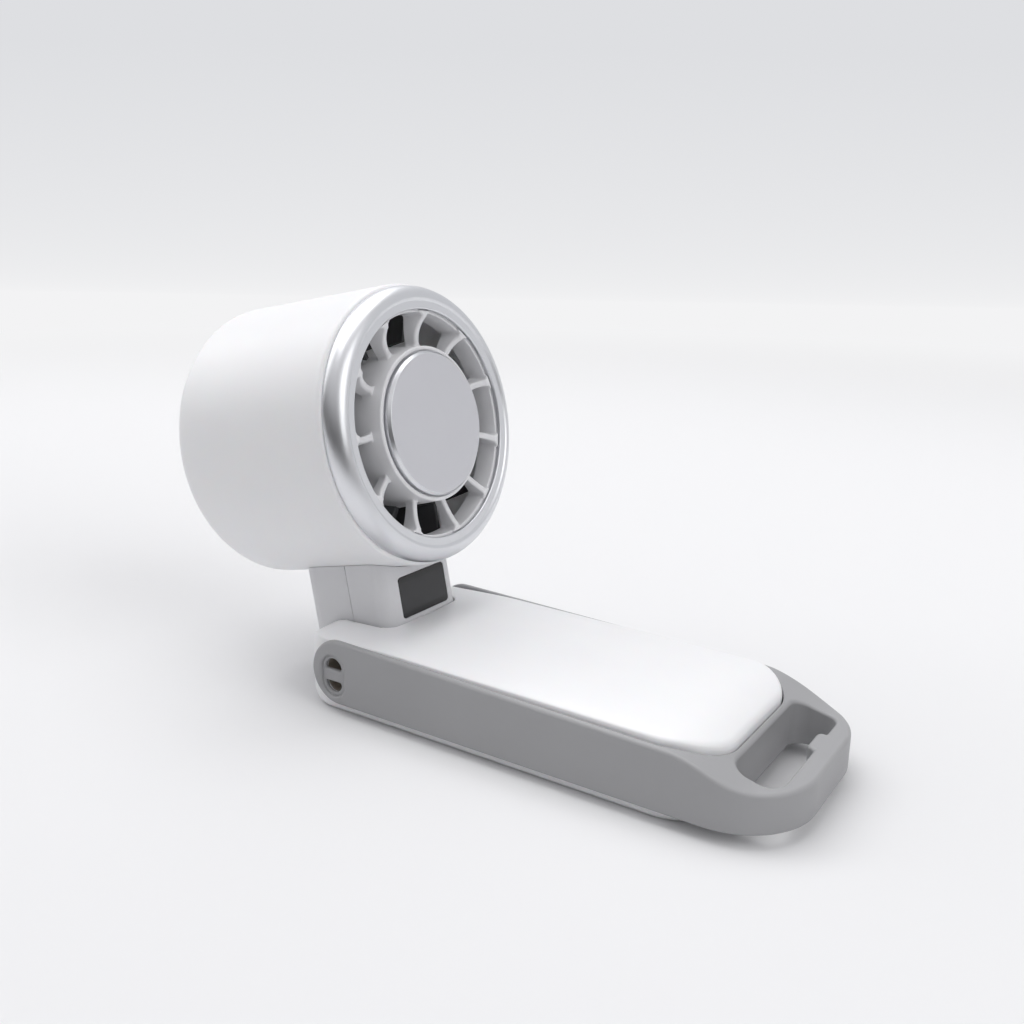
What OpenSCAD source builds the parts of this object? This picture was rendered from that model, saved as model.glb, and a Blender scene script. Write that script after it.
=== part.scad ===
// Folding hand fan with a cold plate: a flat handle with a strap loop, a friction hinge at one end,
// and a round fan head on a short neck with a display.
// The origin is the centre of the flat underside. +X runs along the handle to the loop, +Z is up.
// Handle pieces are drawn from the hinge axis in X and from the table in Z.
// Head pieces are drawn in the neck's own frame: X is the way the air leaves, Z is up the neck.

/* [Handle] */
// Width over the grey side frame
handle_w = 49.7; // [46:0.1:60]
// Radius of the round hinge end, half the handle's thickness there
hinge_end_r = 9.2; // [9:0.1:10]
// From the hinge axis to the outer end of the loop
handle_reach = 109.7; // [107:0.1:130]
// Radius of the handle's corners at the loop end, seen from above
loop_corner_r = 16; // [12:0.5:18]
// Radius of the handle's corners at the hinge end, seen from above
hinge_corner_r = 11.5; // [9:0.5:12]
// Rise of the top cover's middle over the side frame, at the hinge end
crown_h = 1.4; // [1:0.1:2]
// Slope of the top cover's middle towards the loop, in degrees
cover_slope = 0.7; // [0.4:0.1:1.2]
// Wall of the two covers
cover_wall = 1.8; // [1.4:0.1:2.2]
// From the covers' end to the outer end of the loop
cover_setback = 15; // [14:0.1:16]

/* [Side frame] */
// Wall of the frame's two arms
frame_wall = 1.6; // [1.2:0.1:2]
// Height of the frame's lower edge over the table
frame_bottom_z = 2.9; // [2:0.1:3.5]
// Height of the frame's round hinge ends
frame_h = 15; // [14:0.1:15.4]
// Slope of the frame's upper edge towards the loop, in degrees
frame_slope = 1.5; // [0:0.1:2]
// Height of the loop's top face over the table
loop_top_z = 11; // [10:0.1:13]
// Wall of the loop's outer end
loop_end_wall = 4.3; // [3:0.1:6]
// Width of the loop's slot along the handle
slot_w = 9.4; // [8:0.1:9.8]
// Length of the loop's slot across the handle
slot_l = 35.8; // [30:0.1:37]
// From the hinge axis to the middle of the strap lugs
lug_x = 6; // [5.5:0.1:8]
// Height of the bar across a strap lug
lug_bar_h = 2.9; // [2:0.1:3.4]

/* [Neck and hinge] */
// Width of the neck across the handle
neck_w = 26; // [24:0.1:28]
// From the hinge axis to the neck's front face
neck_front = 13.9; // [13:0.1:14.5]
// From the hinge axis to the neck's rear face
neck_back = 12; // [11:0.1:13]
// Radius of the neck's upright corners
neck_corner_r = 4.5; // [3:0.1:6]
// Lean of the neck away from upright at rest, in degrees
rest_lean = 11.5; // [8:0.5:14]
// Radius of the steel hinge pin
pin_r = 2; // [1.5:0.1:2.4]
// Radius of the friction washers
washer_r = 6; // [4:0.1:7]
// Wall of the neck halves
neck_wall = 2; // [1.6:0.1:2.4]
// Width of the display window
display_w = 16.9; // [14:0.1:18]
// Height of the display window
display_h = 9.6; // [7:0.1:9.6]

/* [Fan head] */
// From the hinge axis up to the underside of the drum, along the neck
neck_rise = 19.4; // [19:0.1:24]
// Outer radius of the white drum at its front edge
drum_r = 31.8; // [31:0.1:32.2]
// Growth of that radius towards the rear
drum_flare = 0.8; // [0:0.1:1]
// From the hinge axis back to the drum's rear face
drum_back = 24.2; // [22:0.1:30]
// From the hinge axis forward to the joint of drum and ring
drum_front = 21; // [20:0.1:24]
// Wall of the drum
drum_wall = 2; // [1.6:0.1:2.4]
// Radius of the drum's rear edge
drum_edge_r = 3; // [2.5:0.1:5]
// Radius of the round bead of the chrome ring
ring_bead_r = 3.55; // [3.2:0.05:3.8]
// From the drum's outside in to the chrome ring's bore
ring_w = 5.3; // [4.8:0.1:5.8]
// Number of guide vanes
vane_count = 11; // [7:1:15]
// Thickness of a guide vane
vane_t = 1.5; // [1:0.1:2]
// Lean of a guide vane along the air path, in degrees
vane_lean = 10; // [5:1:25]
// Radius of the cold plate
plate_r = 16.2; // [14:0.1:16.4]
// Thickness of the cold plate
plate_t = 2; // [1.5:0.1:2.4]
// Number of impeller blades
blade_count = 9; // [5:1:13]
// Gap between the impeller's blade tips and the drum's wall
tip_gap = 2.2; // [1:0.1:3]
// Radius of the motor shaft
shaft_r = 1; // [0.8:0.05:1.2]

/* [Buttons and socket] */
// Radius of the two push buttons
button_r = 3; // [2.4:0.1:3.4]
// Travel of a push button
button_travel = 0.4; // [0.3:0.05:0.5]
// From the hinge axis to the first button
button_x = 37; // [36:0.5:38]
// Distance between the two buttons
button_pitch = 10.5; // [9:0.5:11]
// From the hinge axis to the charging socket
socket_x = 27.4; // [27:0.1:28]

/* [Battery] */
// Width of the battery cell
battery_w = 36; // [28:0.5:38]
// Thickness of the battery cell
battery_t = 10; // [8:0.5:11]

/* [Hidden] */
$fn = 96;
eps = 0.01;
far = 300;

// Clearances
seat_gap = 0.1;
pin_fit = 0.02;
run_fit = 0.05;
swing_gap = 0.3;
slide_gap = 0.15;
screw_gap = 0.15;
lug_pocket_gap = 0.1;
plate_gap = 0.3;
throat_gap = 0.1;
throat_drop = 0.7;

// Hinge and origin
hinge_z = hinge_end_r;
cover_end_x = handle_reach - cover_setback;
foot_end_gap = 4;
foot_end_x = cover_end_x - foot_end_gap;
hinge_x = -foot_end_x / 2;

// Side frame
arm_inner_y = handle_w / 2 - frame_wall;
frame_mid_z = frame_bottom_z + frame_h / 2;
frame_top_z = frame_bottom_z + frame_h;
dip_lead = 9.2;
dip_start_x = cover_end_x - dip_lead;
dip_l = 19;
dip_end_x = dip_start_x + dip_l;
dip_steps = 14;
end_steps = 48;
edge_start_x = lug_x + frame_h / 2 * sin(frame_slope);
edge_start_z = frame_mid_z + frame_h / 2 * cos(frame_slope);
dip_start_z = edge_start_z - (dip_start_x - edge_start_x) * tan(frame_slope);
slot_end_x = handle_reach - loop_end_wall;
slot_start_x = slot_end_x - slot_w;
slot_corner_r = 3.5;
nub_y = 5.3;
nub_l = 7.4;
nub_reach = 1.7;
nub_r = 1.2;

// Strap lugs: a shallow oval recess with two openings and a bar between them
lug_recess_r = 3.3;
lug_recess_h = 9.6;
lug_recess_depth = 0.8;
lug_hole_r = 2.35;
lug_hole_h = 8;
lug_recess_back = 1.5;
lug_recess_drop = 1.1;
lug_recess_x = lug_x - lug_recess_back;
lug_recess_z = frame_mid_z - lug_recess_drop;
lug_hole_back = 0.3;
lug_hole_drop = 0.1;
lug_hole_x = lug_recess_x - lug_hole_back;
lug_hole_z = lug_recess_z - lug_hole_drop;
lug_pocket_depth = 4.6;

// Covers
cover_half_w = arm_inner_y - seat_gap;
cover_corner_r = 12;
parting_z = hinge_z;
crown_top_z = frame_top_z + crown_h;
crown_steps = 24;
crown_power = 2.6;
crown_drop = 2;
roll_r = 18;
roll_l = 10.4;
roll_lift = 0.12;
foot_edge = 1.5;
foot_side_r = 2;
bay_start_wall = 1.5;
bay_end_wall = cover_wall + 1.2;
wall_x = neck_front + bay_start_wall;
bay_end_x = cover_end_x - bay_end_wall;
bay_half_w = cover_half_w - cover_wall;
floor_t = 1.8;
roof_t = 1.8;
bay_top_z = frame_top_z - (bay_end_x - lug_x) * tan(frame_slope) - roof_t;

// Fork that holds the neck
fork_half_w = neck_w / 2 + swing_gap;
barrel_inset = 0.2;
barrel_r = hinge_end_r - barrel_inset;
fork_gap = 0.5;
fork_step_h = 2.8;
fork_roof_h = 7.6;
fork_low_x = barrel_r + fork_gap;
fork_high_x = neck_front - fork_gap;
fork_step_z = hinge_z + fork_step_h;
fork_roof_z = hinge_z + fork_roof_h;
fork_lead = 2;
pin_half_l = 18.5;
washer_t = 1;
washer_recess = washer_t - swing_gap + seat_gap;

// Neck
throat_v = 4.5;
seam_x = 2.5;
seam_low_v = 6.4;
cavity_v = barrel_r + swing_gap;
display_drop = 6.8;
display_v = neck_rise - display_drop;
display_t = 1.15;
display_corner_r = 1;
aperture_rim = 1.2;
board_t = 1;

// Screws
screw_r = 1;
screw_head_r = 1.9;
screw_head_t = 1.2;
boss_r = 2.8;
cover_head_sink = 0.4;
head_seat_z = screw_head_t + cover_head_sink;
screw_near_inset = 4.2;
screw_far_inset = 3.6;
screw_side_inset = 3;
screw_near_x = wall_x + screw_near_inset;
screw_far_x = bay_end_x - screw_far_inset;
screw_y = bay_half_w - screw_side_inset;
cover_screws = [
    [screw_near_x, -screw_y], [screw_near_x, screw_y], [screw_far_x, -screw_y], [screw_far_x, screw_y]
];
cover_screw_l = 12;
cover_bite = 6;
neck_screw_inset = 4.1;
neck_screw_y = neck_w / 2 - neck_screw_inset;
neck_screw_drop = 4.2;
neck_screw_v = neck_rise - neck_screw_drop;
neck_boss_r = 2.6;
neck_bore_end_x = 8;
neck_head_sink = 0.9;
neck_head_depth = screw_head_t + neck_head_sink;
neck_screw_l = 17;

// Boards and battery
board_z = 6.2;
board_half_w = 14;
board_inset = 5.7;
board_lead = 5;
post_inset = 3.5;
post_y = [-10, 8];
board_start_x = wall_x + board_inset;
board_end_x = button_x + button_pitch + board_lead;
post_r = 1.6;
battery_gap = 1.5;
battery_end_gap = 0.3;
battery_lift = 0.2;
battery_corner_r = 1.2;
battery_x = board_end_x + battery_gap;
battery_l = screw_far_x - boss_r - battery_end_gap - battery_x;
battery_z = floor_t + battery_lift;
rib_t = 1;
rib_w = 1.6;
rib_h = 5;
rib_drop = 0.5;
rib_gap = 0.1;
socket_w = 8.9;
socket_h = 3.2;
socket_l = 7.3;
socket_z = board_z + board_t + socket_h / 2;

// Buttons
button_z = frame_mid_z;
button_proud = 0.5;
button_flange_w = 0.8;
button_flange_r = button_r + button_flange_w;
button_flange_t = 1.1;
switch_size = 5;
switch_t = 2.2;
switch_edge = 2;
switch_board_lift = 1.2;
switch_board_drop = 0.4;
button_seat_y = cover_half_w - cover_wall - run_fit;
button_tail_y = button_seat_y - button_flange_t;
switch_top_y = button_tail_y - button_travel - seat_gap;
button_board_y = switch_top_y - switch_t;

// Fan head
drum_in_r = drum_r - drum_wall;
drum_back_r = drum_r + drum_flare;
drum_lip_r = 1.1;
fan_axis_h = neck_rise + drum_r;
ring_mid_inset = 4.2;
ring_mid_proud = 0.9;
ring_mid_r = drum_r - ring_mid_inset;
ring_mid_x = drum_front + ring_mid_proud;
ring_bore_r = drum_r - ring_w;
face_proud = 4;
face_x = drum_front + face_proud;
lip_t = 1.05;
lip_w = 1.1;
lip_front_x = face_x + 0.05;
lip_back_x = lip_front_x - lip_t;
lip_in_r = ring_bore_r - lip_w;
sleeve_deep = 2.4;
hub_deep = 9;
sleeve_wall = 1.4;
sleeve_front_x = lip_back_x - seat_gap;
sleeve_out_r = ring_bore_r - seat_gap;
sleeve_in_r = sleeve_out_r - sleeve_wall;
sleeve_back_x = drum_front - sleeve_deep;
flange_t = 1.6;
hub_rim_drop = 0.2;
hub_rim_w = 1.2;
hub_flare = 1.2;
hub_front_x = face_x - hub_rim_drop;
hub_front_r = plate_r + hub_rim_w;
hub_back_x = drum_front - hub_deep;
hub_back_r = hub_front_r + hub_flare;
hub_floor_t = 2;
plate_proud = 1.1;
plate_chamfer = 0.6;
plate_front_x = face_x + plate_proud;
plate_back_x = plate_front_x - plate_t;
vane_drop = 0.5;
vane_bite = 0.2;
vane_front_x = face_x - vane_drop;
vane_len = 5;
vane_scoop_r = 9;
vane_scoop = 2.4;
vane_scoop_out = 0.6;
vane_turn = 8.5;
peltier_inset = 6.2;
peltier_size = 2 * (plate_r - peltier_inset);
peltier_t = 3.6;
peltier_plate_t = 0.8;
peltier_edge = 1.5;
sink_base_t = 1.5;
sink_fins = 7;
sink_fin_t = 0.9;
sink_back_x = hub_back_x + hub_floor_t;
sink_front_x = plate_back_x - peltier_t;
well_gap = 0.45;
well_r = peltier_size * sqrt(2) / 2 + well_gap;
intake_inset = 8.6;
intake_flange_w = 3;
intake_r = drum_back_r - intake_inset;
intake_flange_r = intake_r + intake_flange_w;
intake_t = 1.7;
intake_rings = 4;
intake_ribs = 12;
intake_bar = 1.2;

// Motor and impeller
motor_flange_r = 10;
motor_flange_t = 1.2;
motor_front_x = hub_back_x - motor_flange_t;
motor_tube_r = 3.2;
bearing_r = 2.2;
bearing_l = 3;
stator_r = 8.6;
stator_len = 6;
stator_gap = 3.8;
stator_x = motor_front_x - stator_gap - stator_len;
stator_slots = 9;
stator_slot_t = 1.6;
stator_core_w = 1.6;
motor_tube_tail = 2;
motor_tube_x = stator_x - motor_tube_tail;
magnet_gap = 0.4;
bell_wall = 1.4;
bell_gap = 1.5;
bell_front_gap = 2.8;
bell_in_r = stator_r + magnet_gap;
bell_r = bell_in_r + bell_wall;
bell_front_x = motor_front_x - bell_front_gap;
bell_back_x = motor_tube_x - bell_gap;
bell_floor_t = 1;
impeller_r = drum_in_r - tip_gap;
cup_inset = 2.1;
cup_taper = 3;
cup_lead = 0.9;
cup_front_r = hub_back_r - cup_inset;
cup_back_r = cup_front_r - cup_taper;
cup_wall = 1.2;
cup_front_x = bell_front_x + cup_lead;
cup_back_x = bell_back_x - cup_wall;
blade_t = 1.1;
blade_inset = 1;
blade_gap = 0.6;
blade_root_len = 12;
blade_front_x = sleeve_back_x - blade_gap;
blade_back_x = cup_front_x - blade_root_len;
blade_len = blade_front_x - blade_back_x;
blade_lean = 22;

// Neck joint into the drum
spigot_w = 2 * (neck_screw_y - neck_boss_r) - seat_gap;
spigot_l = 15;
spigot_wall = 1.6;
spigot_depth = 6;
spigot_x = 1;

function cover_top(x) = crown_top_z - (x - lug_x) * tan(cover_slope);

function dip_z(x) = loop_top_z + (dip_start_z - loop_top_z)
    * (1 + cos(180 * (x - dip_start_x) / (dip_end_x - dip_start_x))) / 2;

// Moves the origin from the hinge axis to the middle of the underside
module in_handle() {
    translate([hinge_x, 0, 0]) children();
}

// Frame of the neck at rest
module in_head() {
    translate([hinge_x, 0, hinge_z]) rotate([0, -rest_lean, 0]) children();
}

// Fan axis: the child's Z runs forward along the air path
module about_fan() {
    in_head() translate([0, 0, fan_axis_h]) rotate([0, 90, 0]) children();
}

// A side view in X and Z, extruded across the handle between two Y values
module across(y0, y1) {
    translate([0, y1, 0]) rotate([90, 0, 0]) linear_extrude(height = y1 - y0) children();
}

// A pin or hole along Y, from y0 to y1
module y_rod(x, z, r, y0, y1) {
    translate([x, y1, z]) rotate([90, 0, 0]) cylinder(r = r, h = y1 - y0);
}

// Rectangle centred on Y with one corner radius at each end
module end_rounded(x0, x1, half_w, r0, r1) {
    translate([x0 + r0, -half_w]) square([x1 - r1 - x0 - r0, 2 * half_w]);
    translate([x0, r0 - half_w]) square([r0 + eps, 2 * (half_w - r0)]);
    translate([x1 - r1 - eps, r1 - half_w]) square([r1 + eps, 2 * (half_w - r1)]);
    for (side = [-1, 1]) {
        translate([x0 + r0, side * (half_w - r0)]) circle(r = r0);
        translate([x1 - r1, side * (half_w - r1)]) circle(r = r1);
    }
}

// Upright stadium centred on the origin
module oval(r, h) {
    translate([-r, r - h / 2]) square([2 * r, h - 2 * r]);
    for (end = [-1, 1]) translate([0, end * (h / 2 - r)]) circle(r = r);
}

// Side view of the grey frame, from its round hinge end to the loop
module frame_side() {
    end_r = frame_h / 2;
    polygon(concat(
        [for (i = [0 : end_steps])
            let (a = 270 - i * (180 + frame_slope) / end_steps)
            [lug_x + end_r * cos(a), frame_mid_z + end_r * sin(a)]],
        [[dip_start_x, dip_start_z]],
        [for (i = [1 : dip_steps])
            let (x = dip_start_x + i * (dip_end_x - dip_start_x) / dip_steps) [x, dip_z(x)]],
        [[handle_reach + 1, loop_top_z], [handle_reach + 1, frame_bottom_z]]
    ));
}

// Openings of one strap lug, seen from the side
module lug_holes() {
    difference() {
        oval(lug_hole_r, lug_hole_h);
        translate([-2 * lug_hole_r, -lug_bar_h / 2]) square([4 * lug_hole_r, lug_bar_h]);
    }
}

module side_frame() {
    color("#8f8f91") in_handle() difference() {
        intersection() {
            across(-far, far) frame_side();
            translate([0, 0, -1])
                linear_extrude(height = 40)
                end_rounded(-far, handle_reach, handle_w / 2, loop_corner_r, loop_corner_r);
        }
        // Bed for the two covers
        translate([0, 0, -1])
            linear_extrude(height = 40)
            end_rounded(-far, cover_end_x + seat_gap, arm_inner_y, cover_corner_r, cover_corner_r);
        loop_slot();
        for (side = [-1, 1]) {
            face_y = side * handle_w / 2;
            translate([lug_recess_x, face_y, lug_recess_z])
                across(-lug_recess_depth, lug_recess_depth)
                oval(lug_recess_r, lug_recess_h);
            translate([lug_hole_x, face_y, lug_hole_z])
                across(-2 * frame_wall, 2 * frame_wall)
                lug_holes();
        }
        button_holes();
        socket_hole();
    }
}

// Slot of the loop, less the nub that stands on its outer wall
module loop_slot() {
    difference() {
        translate([0, 0, -1])
            linear_extrude(height = 40)
            end_rounded(slot_start_x, slot_end_x, slot_l / 2, slot_corner_r, slot_corner_r);
        translate([slot_end_x - nub_reach, nub_y - nub_l / 2 + nub_r, -2]) {
            cube([nub_reach + 1, nub_l - 2 * nub_r, 42]);
            for (y = [0, nub_l - 2 * nub_r]) {
                translate([nub_r, y, 0]) cylinder(r = nub_r, h = 42);
                translate([nub_r, y - nub_r, 0]) cube([nub_reach, 2 * nub_r, 42]);
            }
        }
    }
}

// Holes for the push buttons through the far arm and the covers behind it
module button_holes() {
    for (x = [button_x, button_x + button_pitch])
        y_rod(x, button_z, button_r + slide_gap, button_seat_y - 1, handle_w / 2 + 1);
}

// Opening for the charging plug on the far side
module socket_hole() {
    translate([socket_x - socket_w / 2 - seat_gap, button_seat_y - 1, socket_z - socket_h / 2 - seat_gap])
        cube([socket_w + 2 * seat_gap, cover_wall + frame_wall + 3, socket_h + 2 * seat_gap]);
}

// Both covers together, before they are hollowed and parted
module cover_body() {
    intersection() {
        translate([0, 0, -1])
            linear_extrude(height = 40)
            end_rounded(-hinge_end_r, cover_end_x, cover_half_w, hinge_corner_r, cover_corner_r);
        across(-far, far) cover_side();
        crown();
        foot_section();
    }
}

// Side view of the covers: round hinge end, flat foot, top that rolls down towards the loop
module cover_side() {
    roll_start_x = cover_end_x - roll_l;
    rise = (cover_top(neck_front) - 2 * hinge_end_r) / neck_front;
    translate([0, hinge_z]) circle(r = hinge_end_r);
    intersection() {
        polygon([
            [0, 0], [0, 2 * hinge_end_r], [2 * neck_front, 2 * hinge_end_r + rise * 2 * neck_front],
            [cover_end_x, crown_top_z + 2], [cover_end_x, foot_edge], [cover_end_x - foot_edge, 0]
        ]);
        union() {
            translate([0, -1]) square([roll_start_x, 40]);
            translate([roll_start_x, cover_top(roll_start_x) + roll_lift - roll_r]) circle(r = roll_r);
        }
    }
}

// Cross section of the covers, drawn out along the slope of the top
module crown() {
    half_w = cover_half_w;
    translate([lug_x, 0, crown_top_z])
        rotate([0, 90 + cover_slope, 0])
        translate([0, 0, -40])
        linear_extrude(height = 200)
        rotate(90)
        union() {
            polygon([for (i = [0 : crown_steps])
                let (a = 180 * i / crown_steps, c = cos(a), s = sin(a))
                [half_w * sign(c) * pow(abs(c), 2 / crown_power),
                    crown_drop * (pow(s, 2 / crown_power) - 1)]]);
            translate([-half_w, -40]) square([2 * half_w, 40 - crown_drop + eps]);
        }
}

// Cross section of the covers with rounded lower edges
module foot_section() {
    translate([-40, 0, 0]) rotate([90, 0, 90]) linear_extrude(height = 200) {
        translate([-cover_half_w, foot_side_r]) square([2 * cover_half_w, 40]);
        translate([foot_side_r - cover_half_w, 0]) square([2 * (cover_half_w - foot_side_r), 40]);
        for (side = [-1, 1])
            translate([side * (cover_half_w - foot_side_r), foot_side_r]) circle(r = foot_side_r);
    }
}

// Space that the neck needs between the fork's two ears
module fork_space() {
    translate([-far, -fork_half_w, -1]) cube([far + fork_low_x, 2 * fork_half_w, 40]);
    translate([0, -fork_half_w, fork_step_z])
        cube([fork_high_x, 2 * fork_half_w, fork_roof_z - fork_step_z]);
    translate([0, 0, hinge_z])
        rotate([0, -rest_lean, 0])
        translate([0, 0, throat_v - throat_drop])
        linear_extrude(height = 40)
        end_rounded(fork_low_x - neck_corner_r - fork_lead, neck_front + swing_gap, fork_half_w,
            neck_corner_r, neck_corner_r);
}

// Seats of the hinge pin and of the two friction washers
module hinge_seats() {
    y_rod(0, hinge_z, pin_r + pin_fit, -pin_half_l, pin_half_l);
    y_rod(0, hinge_z, washer_r + seat_gap, -fork_half_w - washer_recess, fork_half_w + washer_recess);
}

// Pockets behind the strap lugs, for the strap to pass behind the bar
module lug_pockets() {
    for (side = [-1, 1])
        translate([lug_hole_x, side * (cover_half_w - lug_pocket_depth / 2), lug_hole_z])
            across(-lug_pocket_depth / 2 - 1, lug_pocket_depth / 2 + 1)
            oval(lug_hole_r + lug_pocket_gap, lug_hole_h + 2 * lug_pocket_gap);
}

// Room inside the covers, between two heights
module bay(z0, z1, end_x) {
    translate([wall_x, -bay_half_w, z0]) cube([end_x - wall_x, 2 * bay_half_w, z1 - z0]);
}

module top_cover() {
    color("#f2f2f3") in_handle() difference() {
        union() {
            difference() {
                intersection() {
                    cover_body();
                    translate([-far, -far, parting_z]) cube([2 * far, 2 * far, 40]);
                }
                bay(parting_z - 1, bay_top_z, bay_end_x);
            }
            for (p = cover_screws)
                translate([p[0], p[1], parting_z]) cylinder(r = boss_r, h = bay_top_z - parting_z + eps);
        }
        fork_space();
        hinge_seats();
        lug_pockets();
        button_holes();
        socket_hole();
        for (p = cover_screws)
            translate([p[0], p[1], parting_z - 1]) cylinder(r = screw_r + pin_fit, h = 1 + cover_bite);
    }
}

module bottom_cover() {
    color("#f2f2f3") in_handle() difference() {
        union() {
            difference() {
                intersection() {
                    cover_body();
                    translate([-far, -far, -1]) cube([2 * far, 2 * far, parting_z + 1 - eps]);
                }
                bay(floor_t, parting_z + 1, bay_end_x);
            }
            for (p = cover_screws)
                translate([p[0], p[1], floor_t - eps]) cylinder(r = boss_r, h = parting_z - floor_t);
            board_posts();
        }
        fork_space();
        hinge_seats();
        lug_pockets();
        button_holes();
        socket_hole();
        for (p = cover_screws) translate([p[0], p[1], -1]) {
            cylinder(r = screw_r + screw_gap, h = parting_z + 2);
            cylinder(r = screw_head_r + screw_gap, h = 1 + head_seat_z);
        }
    }
}

// Posts under the main board and ribs that hold the battery and the button board
module board_posts() {
    for (x = [board_start_x + post_inset, board_end_x - post_inset], y = post_y)
        translate([x, y, floor_t - eps]) cylinder(r = post_r, h = board_z - floor_t + eps);
    rib_y = battery_w / 2 + rib_gap + rib_t / 2;
    for (side = [-1, 1])
        translate([battery_x + battery_l / 8, side * rib_y - rib_t / 2, floor_t - eps])
            cube([battery_l / 2, rib_t, rib_h]);
    // Two upright ribs behind the button board
    for (x = [button_x - switch_size / 2 - rib_w, button_x + button_pitch + switch_size / 2])
        translate([x, button_board_y - board_t - rib_t, floor_t - eps])
            cube([rib_w, rib_t, parting_z - floor_t - rib_drop]);
}

module battery_cell() {
    color("#7d8fa8") in_handle()
        translate([battery_x, 0, battery_z])
        linear_extrude(height = battery_t)
        end_rounded(0, battery_l, battery_w / 2, battery_corner_r, battery_corner_r);
}

module main_board() {
    color("#1f6b3a") in_handle() union() {
        translate([board_start_x, -board_half_w, board_z])
            cube([board_end_x - board_start_x, 2 * board_half_w - 1, board_t]);
        translate([socket_x - socket_w / 2, board_half_w - 1 - eps, board_z])
            cube([socket_w, handle_w / 2 - board_half_w - 6, board_t]);
        translate([board_start_x + 7.5, -8, board_z + board_t - eps]) cube([6, 6, 1]);
        translate([board_start_x + 16.5, -3, board_z + board_t - eps]) cube([5, 4, 1.2]);
    }
}

module usb_socket() {
    shell_t = 0.3;
    tongue_h = 0.7;
    color("#c9cacc") in_handle()
        translate([socket_x, cover_half_w - socket_l, socket_z - socket_h / 2]) {
        difference() {
            translate([-socket_w / 2, 0, 0]) cube([socket_w, socket_l, socket_h]);
            translate([-socket_w / 2 + shell_t, 1, shell_t])
                cube([socket_w - 2 * shell_t, socket_l, socket_h - 2 * shell_t]);
        }
        translate([-socket_w / 2 + 1.2, 1 - eps, (socket_h - tongue_h) / 2])
            cube([socket_w - 2.4, socket_l - 2, tongue_h]);
    }
}

module button_board() {
    low_z = floor_t + switch_board_lift;
    reach = switch_size / 2 + switch_edge;
    color("#1f6b3a") in_handle() union() {
        translate([button_x - reach, button_board_y - board_t, low_z])
            cube([button_pitch + 2 * reach, board_t, bay_top_z - switch_board_drop - low_z]);
        for (x = [button_x, button_x + button_pitch])
            translate([x - switch_size / 2, button_board_y - eps, button_z - switch_size / 2])
                cube([switch_size, switch_t, switch_size]);
    }
}

module hinge_pin() {
    chamfer = 0.5;
    color("#b9bbbe") in_handle() union() {
        y_rod(0, hinge_z, pin_r, -pin_half_l + chamfer + 0.1, pin_half_l - chamfer - 0.1);
        for (side = [-1, 1])
            translate([0, side * (pin_half_l - chamfer - 0.1), hinge_z])
                rotate([-90 * side, 0, 0])
                cylinder(r1 = pin_r, r2 = pin_r - chamfer, h = chamfer);
    }
}

module hinge_washer(side) {
    inner_y = neck_w / 2 + seat_gap;
    color("#9a9c9f") in_handle() difference() {
        y_rod(0, hinge_z, washer_r, min(side * inner_y, side * (inner_y + washer_t)),
            max(side * inner_y, side * (inner_y + washer_t)));
        y_rod(0, hinge_z, pin_r + run_fit, -far, far);
    }
}

// Pan head screw: the head's underside is at Z 0 and the thread runs up
module pan_screw(length) {
    drive_r = 0.9;
    difference() {
        union() {
            translate([0, 0, -screw_head_t]) cylinder(r = screw_head_r, h = screw_head_t);
            cylinder(r = screw_r, h = length);
        }
        translate([0, 0, -screw_head_t - eps]) cylinder(r = drive_r, h = 0.7, $fn = 6);
    }
}

module cover_screw(i) {
    color("#8d8f92") in_handle()
        translate([cover_screws[i][0], cover_screws[i][1], head_seat_z])
        pan_screw(cover_screw_l);
}

module push_button(x) {
    dish_r = 14;
    top_y = handle_w / 2 + button_proud;
    color("#f2f2f3") in_handle() difference() {
        union() {
            y_rod(x, button_z, button_r, button_tail_y, top_y);
            // Flange inside the covers, with a flat under their roof
            intersection() {
                y_rod(x, button_z, button_flange_r, button_tail_y, button_seat_y - run_fit);
                cube([far, far, bay_top_z - slide_gap]);
            }
        }
        translate([x, top_y + dish_r - 0.25, button_z]) sphere(r = dish_r);
    }
}

// Side view of the neck: straight walls above, round barrel about the hinge pin below
module neck_side() {
    circle(r = barrel_r);
    polygon([
        [neck_front, fan_axis_h], [neck_front, throat_v], [barrel_r - 0.4, 1], [-barrel_r + 1, -4],
        [-neck_back, 4], [-neck_back, fan_axis_h]
    ]);
}

// The whole neck in its own frame, before it is hollowed and parted
module neck_body() {
    difference() {
        intersection() {
            across(-neck_w / 2, neck_w / 2) neck_side();
            translate([0, 0, -20])
                linear_extrude(height = fan_axis_h + 20)
                end_rounded(-neck_back, neck_front, neck_w / 2, neck_corner_r, neck_corner_r);
        }
        drum_cone(throat_gap);
        translate([0, 0, cavity_v])
            linear_extrude(height = fan_axis_h)
            end_rounded(-neck_back + neck_wall, neck_front - neck_wall, neck_w / 2 - neck_wall,
                neck_corner_r - neck_wall, neck_corner_r - neck_wall);
        y_rod(0, 0, pin_r + run_fit, -far, far);
    }
}

// The drum's outside as a plain cone in the neck's frame, grown by a gap
module drum_cone(gap) {
    translate([-drum_back, 0, fan_axis_h])
        rotate([0, 90, 0])
        cylinder(r1 = drum_back_r + gap, r2 = drum_r + gap, h = drum_back + drum_front);
}

// The part of the neck in front of the seam
module front_zone() {
    translate([seam_x, -far, seam_low_v]) cube([far, 2 * far, far]);
}

module neck_front_half() {
    color("#e4e4e6") in_head() difference() {
        union() {
            intersection() {
                neck_body();
                front_zone();
            }
            // Bosses that the two neck screws bite into
            for (y = [-neck_screw_y, neck_screw_y])
                translate([seam_x, y, neck_screw_v])
                    rotate([0, 90, 0])
                    cylinder(r = neck_boss_r, h = neck_front - neck_wall - seam_x + eps);
        }
        display_opening();
        neck_screw_holes(screw_r + pin_fit);
    }
}

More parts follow.
